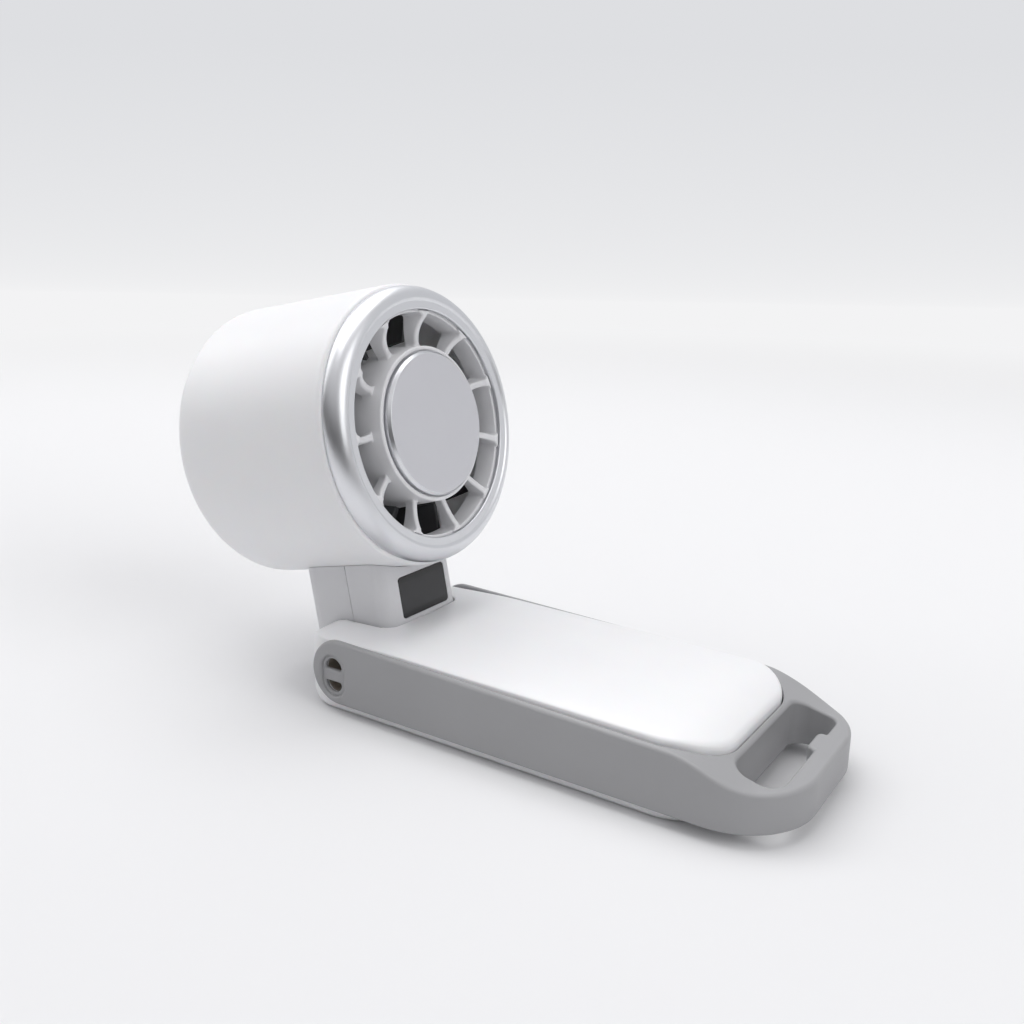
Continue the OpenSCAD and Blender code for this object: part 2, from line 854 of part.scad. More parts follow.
module neck_rear_half() {
    color("#e4e4e6") in_head() difference() {
        union() {
            difference() {
                neck_body();
                translate([-eps, 0, -eps]) front_zone();
            }
            for (y = [-neck_screw_y, neck_screw_y])
                translate([-neck_back + neck_wall - eps, y, neck_screw_v])
                    rotate([0, 90, 0])
                    cylinder(r = neck_boss_r, h = neck_back - neck_wall + seam_x);
        }
        neck_screw_holes(screw_r + screw_gap);
        for (y = [-neck_screw_y, neck_screw_y])
            translate([-neck_back - 1, y, neck_screw_v])
                rotate([0, 90, 0])
                cylinder(r = screw_head_r + screw_gap, h = 1 + neck_head_depth);
    }
}

// Screw holes along the air path, one at each side of the neck
module neck_screw_holes(r) {
    for (y = [-neck_screw_y, neck_screw_y])
        translate([-neck_back - 1, y, neck_screw_v]) rotate([0, 90, 0])
            cylinder(r = r, h = neck_back + 1 + neck_bore_end_x);
}

module neck_screw(side) {
    color("#8d8f92") in_head()
        translate([-neck_back + neck_head_depth, side * neck_screw_y, neck_screw_v])
        rotate([0, 90, 0])
        pan_screw(neck_screw_l);
}

// Outline of the display window, grown by a gap
module display_outline(grow) {
    translate([-display_h / 2 - grow, 0])
        end_rounded(0, display_h + 2 * grow, display_w / 2 + grow, display_corner_r, display_corner_r);
}

// Stands an outline up against the neck's front face, from one depth to another
module on_neck_front(depth0, depth1) {
    translate([neck_front - depth1, 0, display_v])
        rotate([0, 90, 0])
        linear_extrude(height = depth1 - depth0)
        children();
}

module display_opening() {
    on_neck_front(-1, display_t) display_outline(seat_gap / 2);
    on_neck_front(0, neck_wall + 1) display_outline(-aperture_rim);
}

module display_window() {
    color("#2b2b2d") in_head() on_neck_front(0, display_t) display_outline(0);
}

module display_panel() {
    color("#1b1b1c") in_head() on_neck_front(display_t, neck_wall) display_outline(-aperture_rim - seat_gap);
}

module display_board() {
    board_w = 12;
    board_low_v = cavity_v + seat_gap;
    board_high_v = display_v + display_h / 2 - aperture_rim;
    color("#1f6b3a") in_head()
        translate([neck_front - neck_wall - board_t, -board_w / 2, board_low_v])
        cube([board_t, board_w, board_high_v - board_low_v]);
}

// Half section of the drum's outside, or of its inside when inset by the wall
module drum_section(inset) {
    edge = drum_edge_r - inset;
    edge_x = drum_back_r - drum_edge_r;
    edge_y = -drum_back + drum_edge_r;
    lip = inset > 0 ? 0 : drum_lip_r;
    polygon([
        [0, edge_y - edge], [edge_x, edge_y - edge], [edge_x, edge_y], [drum_back_r - inset, edge_y],
        [drum_r - inset, drum_front - lip], [drum_r - inset - lip, drum_front - lip],
        [drum_r - inset - lip, drum_front + inset], [0, drum_front + inset]
    ]);
    translate([edge_x, edge_y]) circle(r = edge);
    if (lip > 0) translate([drum_r - lip, drum_front - lip]) circle(r = lip);
}

// Square tube under the drum that the neck halves close around
module neck_spigot(grow) {
    translate([spigot_x - spigot_l / 2 - grow, -spigot_w / 2 - grow, fan_axis_h - drum_r - spigot_depth])
        cube([spigot_l + 2 * grow, spigot_w + 2 * grow, spigot_depth + 4]);
}

module drum_shell() {
    color("#f2f2f3") {
        about_fan() rotate_extrude() difference() {
            drum_section(0);
            drum_section(drum_wall);
            translate([0, -drum_back - 1]) square([intake_r + seat_gap, drum_wall + 2]);
        }
        in_head() difference() {
            neck_spigot(0);
            neck_spigot(-spigot_wall);
            drum_cone(-drum_wall / 2);
        }
    }
}

// Air intake: rings and ribs in one flat moulding, with a flange inside the drum
module rear_grille() {
    ring_pitch = intake_r / (intake_rings + 0.6);
    color("#e9e9ea") about_fan() translate([0, 0, -drum_back]) {
        difference() {
            cylinder(r = intake_r, h = drum_wall + intake_bar / 2);
            translate([0, 0, -eps]) cylinder(r = intake_r - intake_bar, h = far);
        }
        translate([0, 0, drum_wall]) difference() {
            cylinder(r = intake_flange_r, h = intake_bar);
            translate([0, 0, -1]) cylinder(r = intake_r - intake_bar, h = far);
        }
        for (i = [1 : intake_rings]) difference() {
            cylinder(r = i * ring_pitch, h = intake_t);
            translate([0, 0, -eps]) cylinder(r = i * ring_pitch - intake_bar, h = far);
        }
        for (i = [0 : intake_ribs - 1])
            rotate(i * 360 / intake_ribs)
            translate([ring_pitch - intake_bar / 2, -intake_bar / 2, 0])
            cube([intake_r - ring_pitch, intake_bar, intake_t]);
    }
}

// Round bead with a flat lip inside it that covers the front of the sleeve
module chrome_ring() {
    color("#c8c9cb") about_fan() rotate_extrude() {
        difference() {
            translate([ring_mid_r, ring_mid_x]) circle(r = ring_bead_r);
            square([ring_bore_r, far]);
            translate([0, drum_front - far]) square([far, far]);
        }
        translate([lip_in_r, lip_back_x]) square([lip_w + eps, lip_t]);
    }
}

// White insert: outer sleeve, hub cup for the cold plate, and the vanes between them
module guide_vanes() {
    color("#e9e9ea") about_fan() difference() {
        union() {
            vane_sleeve();
            translate([0, 0, hub_back_x])
                cylinder(r1 = hub_back_r, r2 = hub_front_r, h = hub_front_x - hub_back_x);
            for (i = [0 : vane_count - 1]) rotate(i * 360 / vane_count + vane_turn) guide_vane();
        }
        translate([0, 0, plate_back_x]) cylinder(r = plate_r + plate_gap, h = far);
        translate([0, 0, sink_back_x]) cylinder(r = well_r, h = far);
        translate([0, 0, hub_back_x - 1]) cylinder(r = motor_tube_r - 1, h = hub_floor_t + 2);
    }
}

module vane_sleeve() {
    difference() {
        union() {
            translate([0, 0, sleeve_back_x]) cylinder(r = sleeve_out_r, h = sleeve_front_x - sleeve_back_x);
            translate([0, 0, drum_front - flange_t]) cylinder(r = drum_in_r - seat_gap, h = flange_t);
        }
        translate([0, 0, sleeve_back_x - 1]) cylinder(r = sleeve_in_r, h = far);
    }
}

// One vane: a leaning slab cut to the gap between hub and sleeve, with a scooped front edge
module guide_vane() {
    reach = sleeve_out_r - hub_front_r;
    intersection() {
        translate([hub_front_r - 2 * vane_bite, 0, vane_front_x - vane_len / 2])
            rotate([vane_lean, 0, 0])
            translate([0, -vane_t / 2, -vane_len])
            cube([reach, vane_t, 2 * vane_len]);
        difference() {
            translate([0, 0, vane_front_x - vane_len]) cylinder(r = sleeve_in_r + vane_bite, h = vane_len);
            rotate_extrude()
                translate([hub_front_r + vane_scoop_out, vane_front_x + vane_scoop_r - vane_scoop])
                circle(r = vane_scoop_r);
        }
    }
}

module cold_plate() {
    color("#c1c3c6") about_fan() union() {
        translate([0, 0, plate_back_x]) cylinder(r = plate_r, h = plate_t - plate_chamfer);
        translate([0, 0, plate_front_x - plate_chamfer - eps])
            cylinder(r1 = plate_r, r2 = plate_r - plate_chamfer, h = plate_chamfer + eps);
    }
}

module peltier_module() {
    plate_h = peltier_plate_t;
    legs = peltier_size - 2 * peltier_edge;
    color("#e8e6e0") about_fan() translate([-peltier_size / 2, -peltier_size / 2, sink_front_x]) {
        cube([peltier_size, peltier_size, plate_h]);
        translate([0, 0, peltier_t - plate_h]) cube([peltier_size, peltier_size, plate_h]);
        translate([peltier_edge, peltier_edge, plate_h - eps])
            cube([legs, legs, peltier_t - 2 * plate_h + 2 * eps]);
    }
}

module heat_sink() {
    fin_h = sink_front_x - sink_base_t - sink_back_x;
    pitch = (peltier_size - sink_fin_t) / (sink_fins - 1);
    color("#aeb0b3") about_fan() translate([-peltier_size / 2, -peltier_size / 2, sink_back_x]) {
        translate([0, 0, fin_h]) cube([peltier_size, peltier_size, sink_base_t]);
        for (i = [0 : sink_fins - 1])
            translate([i * pitch, 0, 0]) cube([sink_fin_t, peltier_size, fin_h + eps]);
    }
}

// Mount of the motor: flange on the hub's floor and the tube that carries both bearings
module motor_base() {
    color("#b3b5b8") about_fan() difference() {
        union() {
            translate([0, 0, motor_front_x]) cylinder(r = motor_flange_r, h = motor_flange_t);
            translate([0, 0, motor_tube_x])
                cylinder(r = motor_tube_r, h = motor_front_x - motor_tube_x + eps);
        }
        translate([0, 0, motor_tube_x - 1]) cylinder(r = bearing_r + pin_fit, h = far);
    }
}

module motor_bearing(x) {
    color("#a8834a") about_fan() translate([0, 0, x]) difference() {
        cylinder(r = bearing_r, h = bearing_l);
        translate([0, 0, -1]) cylinder(r = shaft_r + run_fit, h = bearing_l + 2);
    }
}

module motor_stator() {
    slot_in_r = motor_tube_r + stator_core_w;
    color("#9c5a2e") about_fan() translate([0, 0, stator_x]) difference() {
        cylinder(r = stator_r, h = stator_len);
        translate([0, 0, -1]) cylinder(r = motor_tube_r + pin_fit, h = stator_len + 2);
        for (i = [0 : stator_slots - 1])
            rotate(i * 360 / stator_slots)
            translate([slot_in_r, -stator_slot_t / 2, -1])
            cube([stator_r, stator_slot_t, stator_len + 2]);
    }
}

module rotor_bell() {
    color("#8b8d90") about_fan() difference() {
        translate([0, 0, bell_back_x]) cylinder(r = bell_r, h = bell_front_x - bell_back_x);
        translate([0, 0, bell_back_x + bell_floor_t]) cylinder(r = bell_in_r, h = far);
        translate([0, 0, bell_back_x - 1]) cylinder(r = shaft_r + pin_fit, h = far);
    }
}

module motor_shaft() {
    color("#c4c6c8") about_fan()
        translate([0, 0, cup_back_x])
        cylinder(r = shaft_r, h = motor_front_x + motor_flange_t - cup_back_x);
}

// Fan wheel: a cup over the rotor bell and leaning blades around it
module impeller() {
    color("#5a5c5f") about_fan() difference() {
        union() {
            translate([0, 0, cup_back_x])
                cylinder(r1 = cup_back_r, r2 = cup_front_r, h = cup_front_x - cup_back_x);
            for (i = [0 : blade_count - 1]) rotate(i * 360 / blade_count) impeller_blade();
        }
        translate([0, 0, cup_back_x + cup_wall]) cylinder(r = bell_r + pin_fit, h = far);
        translate([0, 0, cup_back_x - 1]) cylinder(r = shaft_r + pin_fit, h = far);
    }
}

module impeller_blade() {
    intersection() {
        translate([cup_back_r - blade_inset, 0, (blade_front_x + blade_back_x) / 2])
            rotate([-blade_lean, 0, 0])
            translate([0, -blade_t / 2, -blade_len])
            cube([impeller_r, blade_t, 2 * blade_len]);
        difference() {
            translate([0, 0, blade_back_x]) cylinder(r = impeller_r, h = blade_len);
            // Room for the hub of the guide vanes
            translate([0, 0, cup_front_x - blade_inset]) cylinder(r = hub_back_r + blade_gap, h = far);
        }
    }
}

side_frame();
top_cover();
bottom_cover();
battery_cell();
main_board();
usb_socket();
button_board();
hinge_pin();
hinge_washer(-1);  // hinge_washer_near
hinge_washer(1);  // hinge_washer_far
cover_screw(0);  // cover_screw_1
cover_screw(1);  // cover_screw_2
cover_screw(2);  // cover_screw_3
cover_screw(3);  // cover_screw_4
push_button(button_x);  // power_button
push_button(button_x + button_pitch);  // speed_button
neck_front_half();
neck_rear_half();
display_window();
display_panel();
display_board();
neck_screw(-1);  // neck_screw_1
neck_screw(1);  // neck_screw_2
drum_shell();
rear_grille();
chrome_ring();
guide_vanes();
cold_plate();
peltier_module();
heat_sink();
motor_base();
motor_stator();
motor_bearing(motor_front_x + motor_flange_t - bearing_l);  // bearing_front
motor_bearing(motor_tube_x);  // bearing_rear
impeller();
rotor_bell();
motor_shaft();
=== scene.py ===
"""Folding hand fan with a cold plate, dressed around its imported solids.

Handle pieces are drawn from the hinge axis in X and from the table in Z, head pieces in the neck's own frame
with Z up the neck, and turned pieces about the fan axis with Z forward. Sizes are in millimetres, and the
studio's in metres.
"""

import logging
import math
from dataclasses import dataclass
from enum import Enum
from typing import Callable, Sequence

import bmesh
import bpy
from mathutils import Matrix, Vector


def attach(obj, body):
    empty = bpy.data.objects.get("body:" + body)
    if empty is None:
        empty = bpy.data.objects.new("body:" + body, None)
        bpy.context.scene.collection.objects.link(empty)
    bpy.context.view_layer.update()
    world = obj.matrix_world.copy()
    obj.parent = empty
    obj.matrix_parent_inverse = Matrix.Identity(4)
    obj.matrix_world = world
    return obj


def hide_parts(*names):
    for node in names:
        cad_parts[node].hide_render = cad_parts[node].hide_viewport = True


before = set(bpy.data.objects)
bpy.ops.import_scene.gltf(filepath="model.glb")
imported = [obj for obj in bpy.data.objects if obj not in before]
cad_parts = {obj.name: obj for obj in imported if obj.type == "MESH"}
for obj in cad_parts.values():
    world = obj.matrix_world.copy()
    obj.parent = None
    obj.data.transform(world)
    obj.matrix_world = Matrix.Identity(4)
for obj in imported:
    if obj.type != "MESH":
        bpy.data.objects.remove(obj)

log = logging.getLogger("hand_fan")

Outline = list[tuple[float, float]]
Station = tuple[Vector, Vector, Vector, Vector]
Thing = bpy.types.Object
Tree = bpy.types.NodeTree
Socket = bpy.types.NodeSocket
Material = bpy.types.Material
MM = 0.001
FULL_TURN = 2 * math.pi


class Body(Enum):
    """The bodies that the pieces ride on."""

    HANDLE = "handle"
    HEAD = "head"
    FAN_WHEEL = "fan_wheel"
    POWER_KEY = "power_key"
    SPEED_KEY = "speed_key"


class Join(Enum):
    """How one solid is joined to another."""

    CUT = "DIFFERENCE"
    FUSE = "UNION"


class Facing(Enum):
    """The plane that an outline is drawn in before it is drawn out into a prism."""

    PLAN = "seen from above"
    SIDE = "seen from the side"
    END = "seen from the end"


@dataclass(frozen=True)
class Layout:
    """Where the hinge and the fan axis are, shared by every sub-assembly.

    Attributes:
        hinge_x: Hinge axis along the handle, from the middle of the foot.
        hinge_z: Hinge axis over the table.
        lean_deg: Lean of the neck at rest.
        axis_h: Fan axis over the hinge axis, along the neck.
        display_z: Middle of the display over the hinge axis, along the neck.
        screws_x: Places of the cover screws along the handle.
        screws_y: Their distance from the middle.
    """

    hinge_x: float = -45.35
    hinge_z: float = 9.2
    lean_deg: float = 11.5
    axis_h: float = 51.2
    display_z: float = 12.6
    screws_x: tuple[float, float] = (19.6, 88.1)
    screws_y: float = 18.35

    def handle(self) -> Matrix:
        """Returns the place of the handle's drawing frame."""
        return Matrix.Translation((self.hinge_x, 0, 0))

    def head(self) -> Matrix:
        """Returns the place of the neck's drawing frame at rest."""
        lean = Matrix.Rotation(math.radians(-self.lean_deg), 4, "Y")
        return Matrix.Translation((self.hinge_x, 0, self.hinge_z)) @ lean

    def fan(self) -> Matrix:
        """Returns the place of the fan axis, with Z forward along the air path."""
        return self.head() @ Matrix.Translation((0, 0, self.axis_h)) @ Matrix.Rotation(math.pi / 2, 4, "Y")

    def cover_screws(self) -> list[tuple[float, float]]:
        """Returns the places of the four cover screws, seen from above."""
        return [(x, y) for x in self.screws_x for y in (-self.screws_y, self.screws_y)]


LAYOUT = Layout()


@dataclass(frozen=True)
class SideHoles:
    """The holes in the handle's sides, which run through the frame into the covers.

    Attributes:
        lug: Middle of a strap lug's bar, along the handle and in height.
        buttons_x: Places of the two buttons along the handle.
        button_z: Height of the buttons.
        button_r: Radius of their holes.
        socket: Start and end along the handle, lower and upper edge of the charging socket's hole.
    """

    lug: tuple[float, float] = (4.2, 9.2)
    buttons_x: tuple[float, float] = (37.0, 47.5)
    button_z: float = 10.4
    button_r: float = 3.15
    socket: tuple[float, float, float, float] = (22.85, 31.95, 7.1, 10.5)


SIDE_HOLES = SideHoles()


# Small tools for meshes


def rounded(corners: Sequence[tuple[float, float, float]], segments: int = 8) -> Outline:
    """Rounds the corners of a closed outline.

    Args:
        corners: Each corner's two coordinates and its radius, in order.
        segments: Straight pieces in each rounded corner.

    Returns:
        The outline's points in the same order.
    """
    points: Outline = []
    count = len(corners)
    for i, (x, y, radius) in enumerate(corners):
        here = Vector((x, y))
        before = Vector(corners[i - 1][:2]) - here
        after = Vector(corners[(i + 1) % count][:2]) - here
        if radius <= 0:
            points.append((x, y))
            continue
        before.normalize()
        after.normalize()
        half = before.angle(after) / 2
        reach = radius / math.tan(half)
        centre = here + (before + after).normalized() * (radius / math.sin(half))
        start = here + before * reach - centre
        end = here + after * reach - centre
        turn = start.angle_signed(end)
        for k in range(segments + 1):
            angle = -turn * k / segments
            points.append(tuple(centre + Matrix.Rotation(angle, 2) @ start))
    return points


def circle(radius: float, steps: int, x: float = 0.0, z: float = 0.0) -> Outline:
    """Returns a circle's points about a centre."""
    angles = (FULL_TURN * k / steps for k in range(steps))
    return [(x + radius * math.cos(a), z + radius * math.sin(a)) for a in angles]


def quarter(steps: int) -> list[float]:
    """Returns the angles of a quarter turn in equal steps, from zero up."""
    return [math.pi / 2 * k / steps for k in range(steps + 1)]


def skin(count: int, rings: int, closed: bool = False) -> list[tuple[int, ...]]:
    """Returns the faces between rings of points that follow each other.

    Args:
        count: Points in each ring.
        rings: How many rings there are.
        closed: Whether the last ring leads back to the first.

    Returns:
        Point numbers of each face.
    """
    faces = []
    for i in range(rings if closed else rings - 1):
        here, there = i * count, (i + 1) % rings * count
        for k in range(count):
            after = (k + 1) % count
            faces.append((here + k, here + after, there + after, there + k))
    return faces


def rounded_box(low: Sequence[float], high: Sequence[float], radii: Sequence[float],
                segments: int = 8) -> Outline:
    """Returns a rectangle's outline with rounded corners.

    Args:
        low: Its lower left corner.
        high: Its upper right corner.
        radii: Radii of its corners, from the lower left one anticlockwise.
        segments: Straight pieces in each rounded corner.

    Returns:
        The outline.
    """
    (left, bottom), (right, top) = low, high
    places = ((left, bottom), (right, bottom), (right, top), (left, top))
    return rounded([(x, z, radius) for (x, z), radius in zip(places, radii)], segments)


def new_object(name: str, points: Sequence[Sequence[float]], faces: Sequence[Sequence[int]]) -> Thing:
    """Makes a mesh object in millimetres, with its doubles merged and its faces pointing outwards.

    Args:
        name: The object's name.
        points: Its points.
        faces: Point numbers of each face.

    Returns:
        The new object.
    """
    mesh = bpy.data.meshes.new(name)
    mesh.from_pydata([tuple(p) for p in points], [], [tuple(f) for f in faces])
    shape = bmesh.new()
    shape.from_mesh(mesh)
    bmesh.ops.remove_doubles(shape, verts=shape.verts, dist=1e-4)
    bmesh.ops.dissolve_degenerate(shape, edges=shape.edges, dist=1e-5)
    bmesh.ops.recalc_face_normals(shape, faces=shape.faces)
    if shape.calc_volume(signed=True) < 0:
        bmesh.ops.reverse_faces(shape, faces=shape.faces)
    shape.to_mesh(mesh)
    shape.free()
    thing = bpy.data.objects.new(name, mesh)
    bpy.context.scene.collection.objects.link(thing)
    return thing


def lathe(name: str, profile: Outline, steps: int = 192) -> Thing:
    """Turns a closed half section about Z.

    Args:
        name: The object's name.
        profile: Radius and height of each point, in order.
        steps: Divisions of the full turn.

    Returns:
        The turned solid.
    """
    points = []
    for i in range(steps):
        a = FULL_TURN * i / steps
        points += [(r * math.cos(a), r * math.sin(a), z) for r, z in profile]
    return new_object(name, points, skin(len(profile), steps, closed=True))


def prism(name: str, outline: Outline, low: float, high: float, facing: Facing = Facing.PLAN) -> Thing:
    """Draws an outline out into a solid.

    Args:
        name: The object's name.
        outline: Points in X and Y for a plan, in X and Z for a side view, or in Y and Z for an end view.
        low: Where the solid starts, along the axis that the outline leaves out.
        high: Where it ends.
        facing: The plane of the outline.

    Returns:
        The solid.
    """
    count = len(outline)
    order = {Facing.PLAN: (0, 1, 2), Facing.SIDE: (0, 2, 1), Facing.END: (2, 0, 1)}[facing]
    points = [[(a, b, h)[i] for i in order] for h in (low, high) for a, b in outline]
    faces = [tuple(range(count)), tuple(range(count, 2 * count)), *skin(count, 2)]
    return new_object(name, points, faces)


def rod(name: str, x: float, z: float, radius: float, low: float, high: float) -> Thing:
    """Makes a round rod along Y between two Y values."""
    return prism(name, circle(radius, 96, x, z), low, high, Facing.SIDE)


def block(name: str, low: Sequence[float], high: Sequence[float]) -> Thing:
    """Makes a plain block between two corners."""
    outline = [(low[0], low[1]), (high[0], low[1]), (high[0], high[1]), (low[0], high[1])]
    return prism(name, outline, low[2], high[2])


def oval(radius: float, height: float) -> Outline:
    """Returns an upright stadium centred on zero."""
    rise = height / 2 - radius
    top = [(radius * math.cos(a), rise + radius * math.sin(a)) for a in (math.pi * k / 24 for k in range(25))]
    return top + [(-x, -z) for x, z in top]


def cylinder(name: str, radius: float, low: float, high: float) -> Thing:
    """Makes an upright cylinder on the Z axis."""
    return prism(name, circle(radius, 64), low, high)


def shift(outline: Outline, x: float, z: float) -> Outline:
    """Returns an outline moved in its own plane."""
    return [(a + x, b + z) for a, b in outline]


def loft(name: str, rings: Sequence[Sequence[Sequence[float]]]) -> Thing:
    """Joins closed rings of equal counts into one closed solid.

    Args:
        name: The object's name.
        rings: Points of each ring, in order.

    Returns:
        The solid.
    """
    count = len(rings[0])
    points = [p for ring in rings for p in ring]
    faces = skin(count, len(rings))
    faces += [tuple(range(count)), tuple(range((len(rings) - 1) * count, len(rings) * count))]
    return new_object(name, points, faces)


def mouth(name: str, outline_at: Callable[[float], Outline], side: int, face: float, depth: float,
          radius: float) -> Thing:
    """Makes the solid that cuts a hole with a rounded mouth into a side wall.

    Args:
        name: The object's name.
        outline_at: Gives the hole's outline in X and Z, grown by a width.
        side: 1 for the far side and -1 for the near side.
        face: Distance of the wall's face from the middle.
        depth: Depth of the hole.
        radius: Radius of its rounded edge.

    Returns:
        The solid.
    """
    levels = [(0.0, -depth)]
    levels += [(radius * (1 - math.cos(a)), radius * (math.sin(a) - 1)) for a in quarter(6)]
    levels.append((radius, 2.0))
    return loft(name, [[(x, side * (face + out), z) for x, z in outline_at(grow)] for grow, out in levels])


def move(thing: Thing, place: Matrix) -> Thing:
    """Moves an object's mesh, and returns the object."""
    thing.data.transform(place)
    return thing


def settle(thing: Thing) -> None:
    """Makes the result of an object's modifiers its own plain mesh, and removes them.

    Args:
        thing: The object.
    """
    evaluated = thing.evaluated_get(bpy.context.evaluated_depsgraph_get())
    mesh = bpy.data.meshes.new_from_object(evaluated)
    thing.modifiers.clear()
    thing.data = mesh


def join(target: Thing, tool: Thing, how: Join) -> None:
    """Joins a second solid to the first, and deletes the second.

    Args:
        target: The solid that stays.
        tool: The solid that is added or taken away.
        how: Which of these it is.
    """
    modifier = target.modifiers.new("join", "BOOLEAN")
    modifier.operation = how.value
    modifier.object = tool
    modifier.solver = "EXACT"
    settle(target)
    bpy.data.objects.remove(tool)


def soften(thing: Thing, radius_at: Callable[[Vector], float], widest: float = 1.0,
           segments: int = 3, corner_deg: float = 24.0, merge_deg: float = 0.4) -> None:
    """Rounds the sharp edges of a solid, each by its own radius, and smooths its shading.

    Args:
        thing: The solid, in millimetres.
        radius_at: Gives the radius for an edge from the middle of that edge.
        widest: The largest radius used.
        segments: Faces across a rounded edge.
        corner_deg: Edges that turn by more than this are rounded.
        merge_deg: Faces that turn by less than this are merged first, and none are at zero.
    """
    shape = bmesh.new()
    shape.from_mesh(thing.data)
    bmesh.ops.remove_doubles(shape, verts=shape.verts, dist=2e-3)
    bmesh.ops.dissolve_degenerate(shape, edges=shape.edges, dist=1e-3)
    if merge_deg:
        limit = math.radians(merge_deg)
        bmesh.ops.dissolve_limit(shape, angle_limit=limit, verts=shape.verts, edges=shape.edges)
    weight = shape.edges.layers.float.new("bevel_weight_edge")
    for edge in shape.edges:
        if len(edge.link_faces) == 2 and edge.calc_face_angle() > math.radians(corner_deg):
            middle = (edge.verts[0].co + edge.verts[1].co) / 2
            edge[weight] = min(radius_at(middle) / widest, 1.0)
    shape.to_mesh(thing.data)
    shape.free()
    bevel = thing.modifiers.new("rounded edges", "BEVEL")
    bevel.width = widest
    bevel.segments = segments
    bevel.limit_method = "WEIGHT"
    bevel.use_clamp_overlap = False
    bevel.miter_outer = "MITER_ARC"
    settle(thing)
    smooth(thing)


def smooth(thing: Thing, angle_deg: float = 32.0) -> None:
    """Shades a mesh smooth, with large faces kept flat.

    Args:
        thing: The object.
        angle_deg: Edges that turn by more than this stay sharp.
    """
    thing.data.shade_smooth()
    thing.data.set_sharp_from_angle(angle=math.radians(angle_deg))
    weighted = thing.modifiers.new("flat faces stay flat", "WEIGHTED_NORMAL")
    weighted.keep_sharp = True
    settle(thing)


def node_copy(node: str, name: str, place: Matrix) -> Thing:
    """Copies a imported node's mesh with its triangles joined, back in a drawing frame.

    Args:
        node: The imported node's name.
        name: The copy's name.
        place: The drawing frame's place.

    Returns:
        The copy, in millimetres.
    """
    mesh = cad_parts[node].data.copy()
    mesh.materials.clear()
    mesh.transform(place.inverted() @ Matrix.Diagonal((1 / MM, 1 / MM, 1 / MM, 1)))
    shape = bmesh.new()
    shape.from_mesh(mesh)
    bmesh.ops.remove_doubles(shape, verts=shape.verts, dist=1e-3)
    shape.to_mesh(mesh)
    shape.free()
    copy = bpy.data.objects.new(name, mesh)
    bpy.context.scene.collection.objects.link(copy)
    return copy


def fit(thing: Thing, place: Matrix, body: Body, material: Material,
        slot: str, *nodes: str) -> Thing:
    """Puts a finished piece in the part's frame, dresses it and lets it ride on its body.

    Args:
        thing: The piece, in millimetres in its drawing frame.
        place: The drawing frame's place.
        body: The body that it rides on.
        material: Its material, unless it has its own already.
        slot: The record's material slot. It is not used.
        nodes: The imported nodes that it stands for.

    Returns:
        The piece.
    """
    thing.data.transform(Matrix.Diagonal((MM, MM, MM, 1)) @ place)
    if not thing.data.materials:
        thing.data.materials.append(material)
    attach(thing, body.value)
    if nodes:
        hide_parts(*nodes)
    log.info("%s: %d faces, rides on %s", thing.name, len(thing.data.polygons), body.value)
    return thing


# Materials


def linear(hex_code: str) -> tuple[float, float, float, float]:
    """Turns a colour into linear light.

    Args:
        hex_code: The sRGB colour, such as #FFFFFF.

    Returns:
        Its linear red, green, blue and alpha.
    """
    parts = [int(hex_code[i:i + 2], 16) / 255 for i in (1, 3, 5)]
    red, green, blue = (p / 12.92 if p <= 0.04045 else ((p + 0.055) / 1.055) ** 2.4 for p in parts)
    return red, green, blue, 1.0


def add_node(tree: Tree, kind: str, inputs: dict | None = None,
             **settings: object) -> bpy.types.Node:
    """Adds one node with its settings and links.

    Args:
        tree: The tree it goes in.
        kind: The node's type.
        inputs: Value or source socket of each input, by name or number.
        settings: The node's own properties.

    Returns:
        The new node.
    """
    node = tree.nodes.new(kind)
    for key, value in settings.items():
        setattr(node, key, value)
    for key, value in (inputs or {}).items():
        if isinstance(value, Socket):
            tree.links.new(value, node.inputs[key])
        else:
            node.inputs[key].default_value = value
    return node


def new_material(name: str) -> tuple[Material, Tree, bpy.types.Node]:
    """Makes an empty node material.

    Args:
        name: The material's name.

    Returns:
        The material, its tree and its output node.
    """
    material = bpy.data.materials.new(name)
    material.use_nodes = True
    tree = material.node_tree
    tree.nodes.clear()
    return material, tree, add_node(tree, "ShaderNodeOutputMaterial")


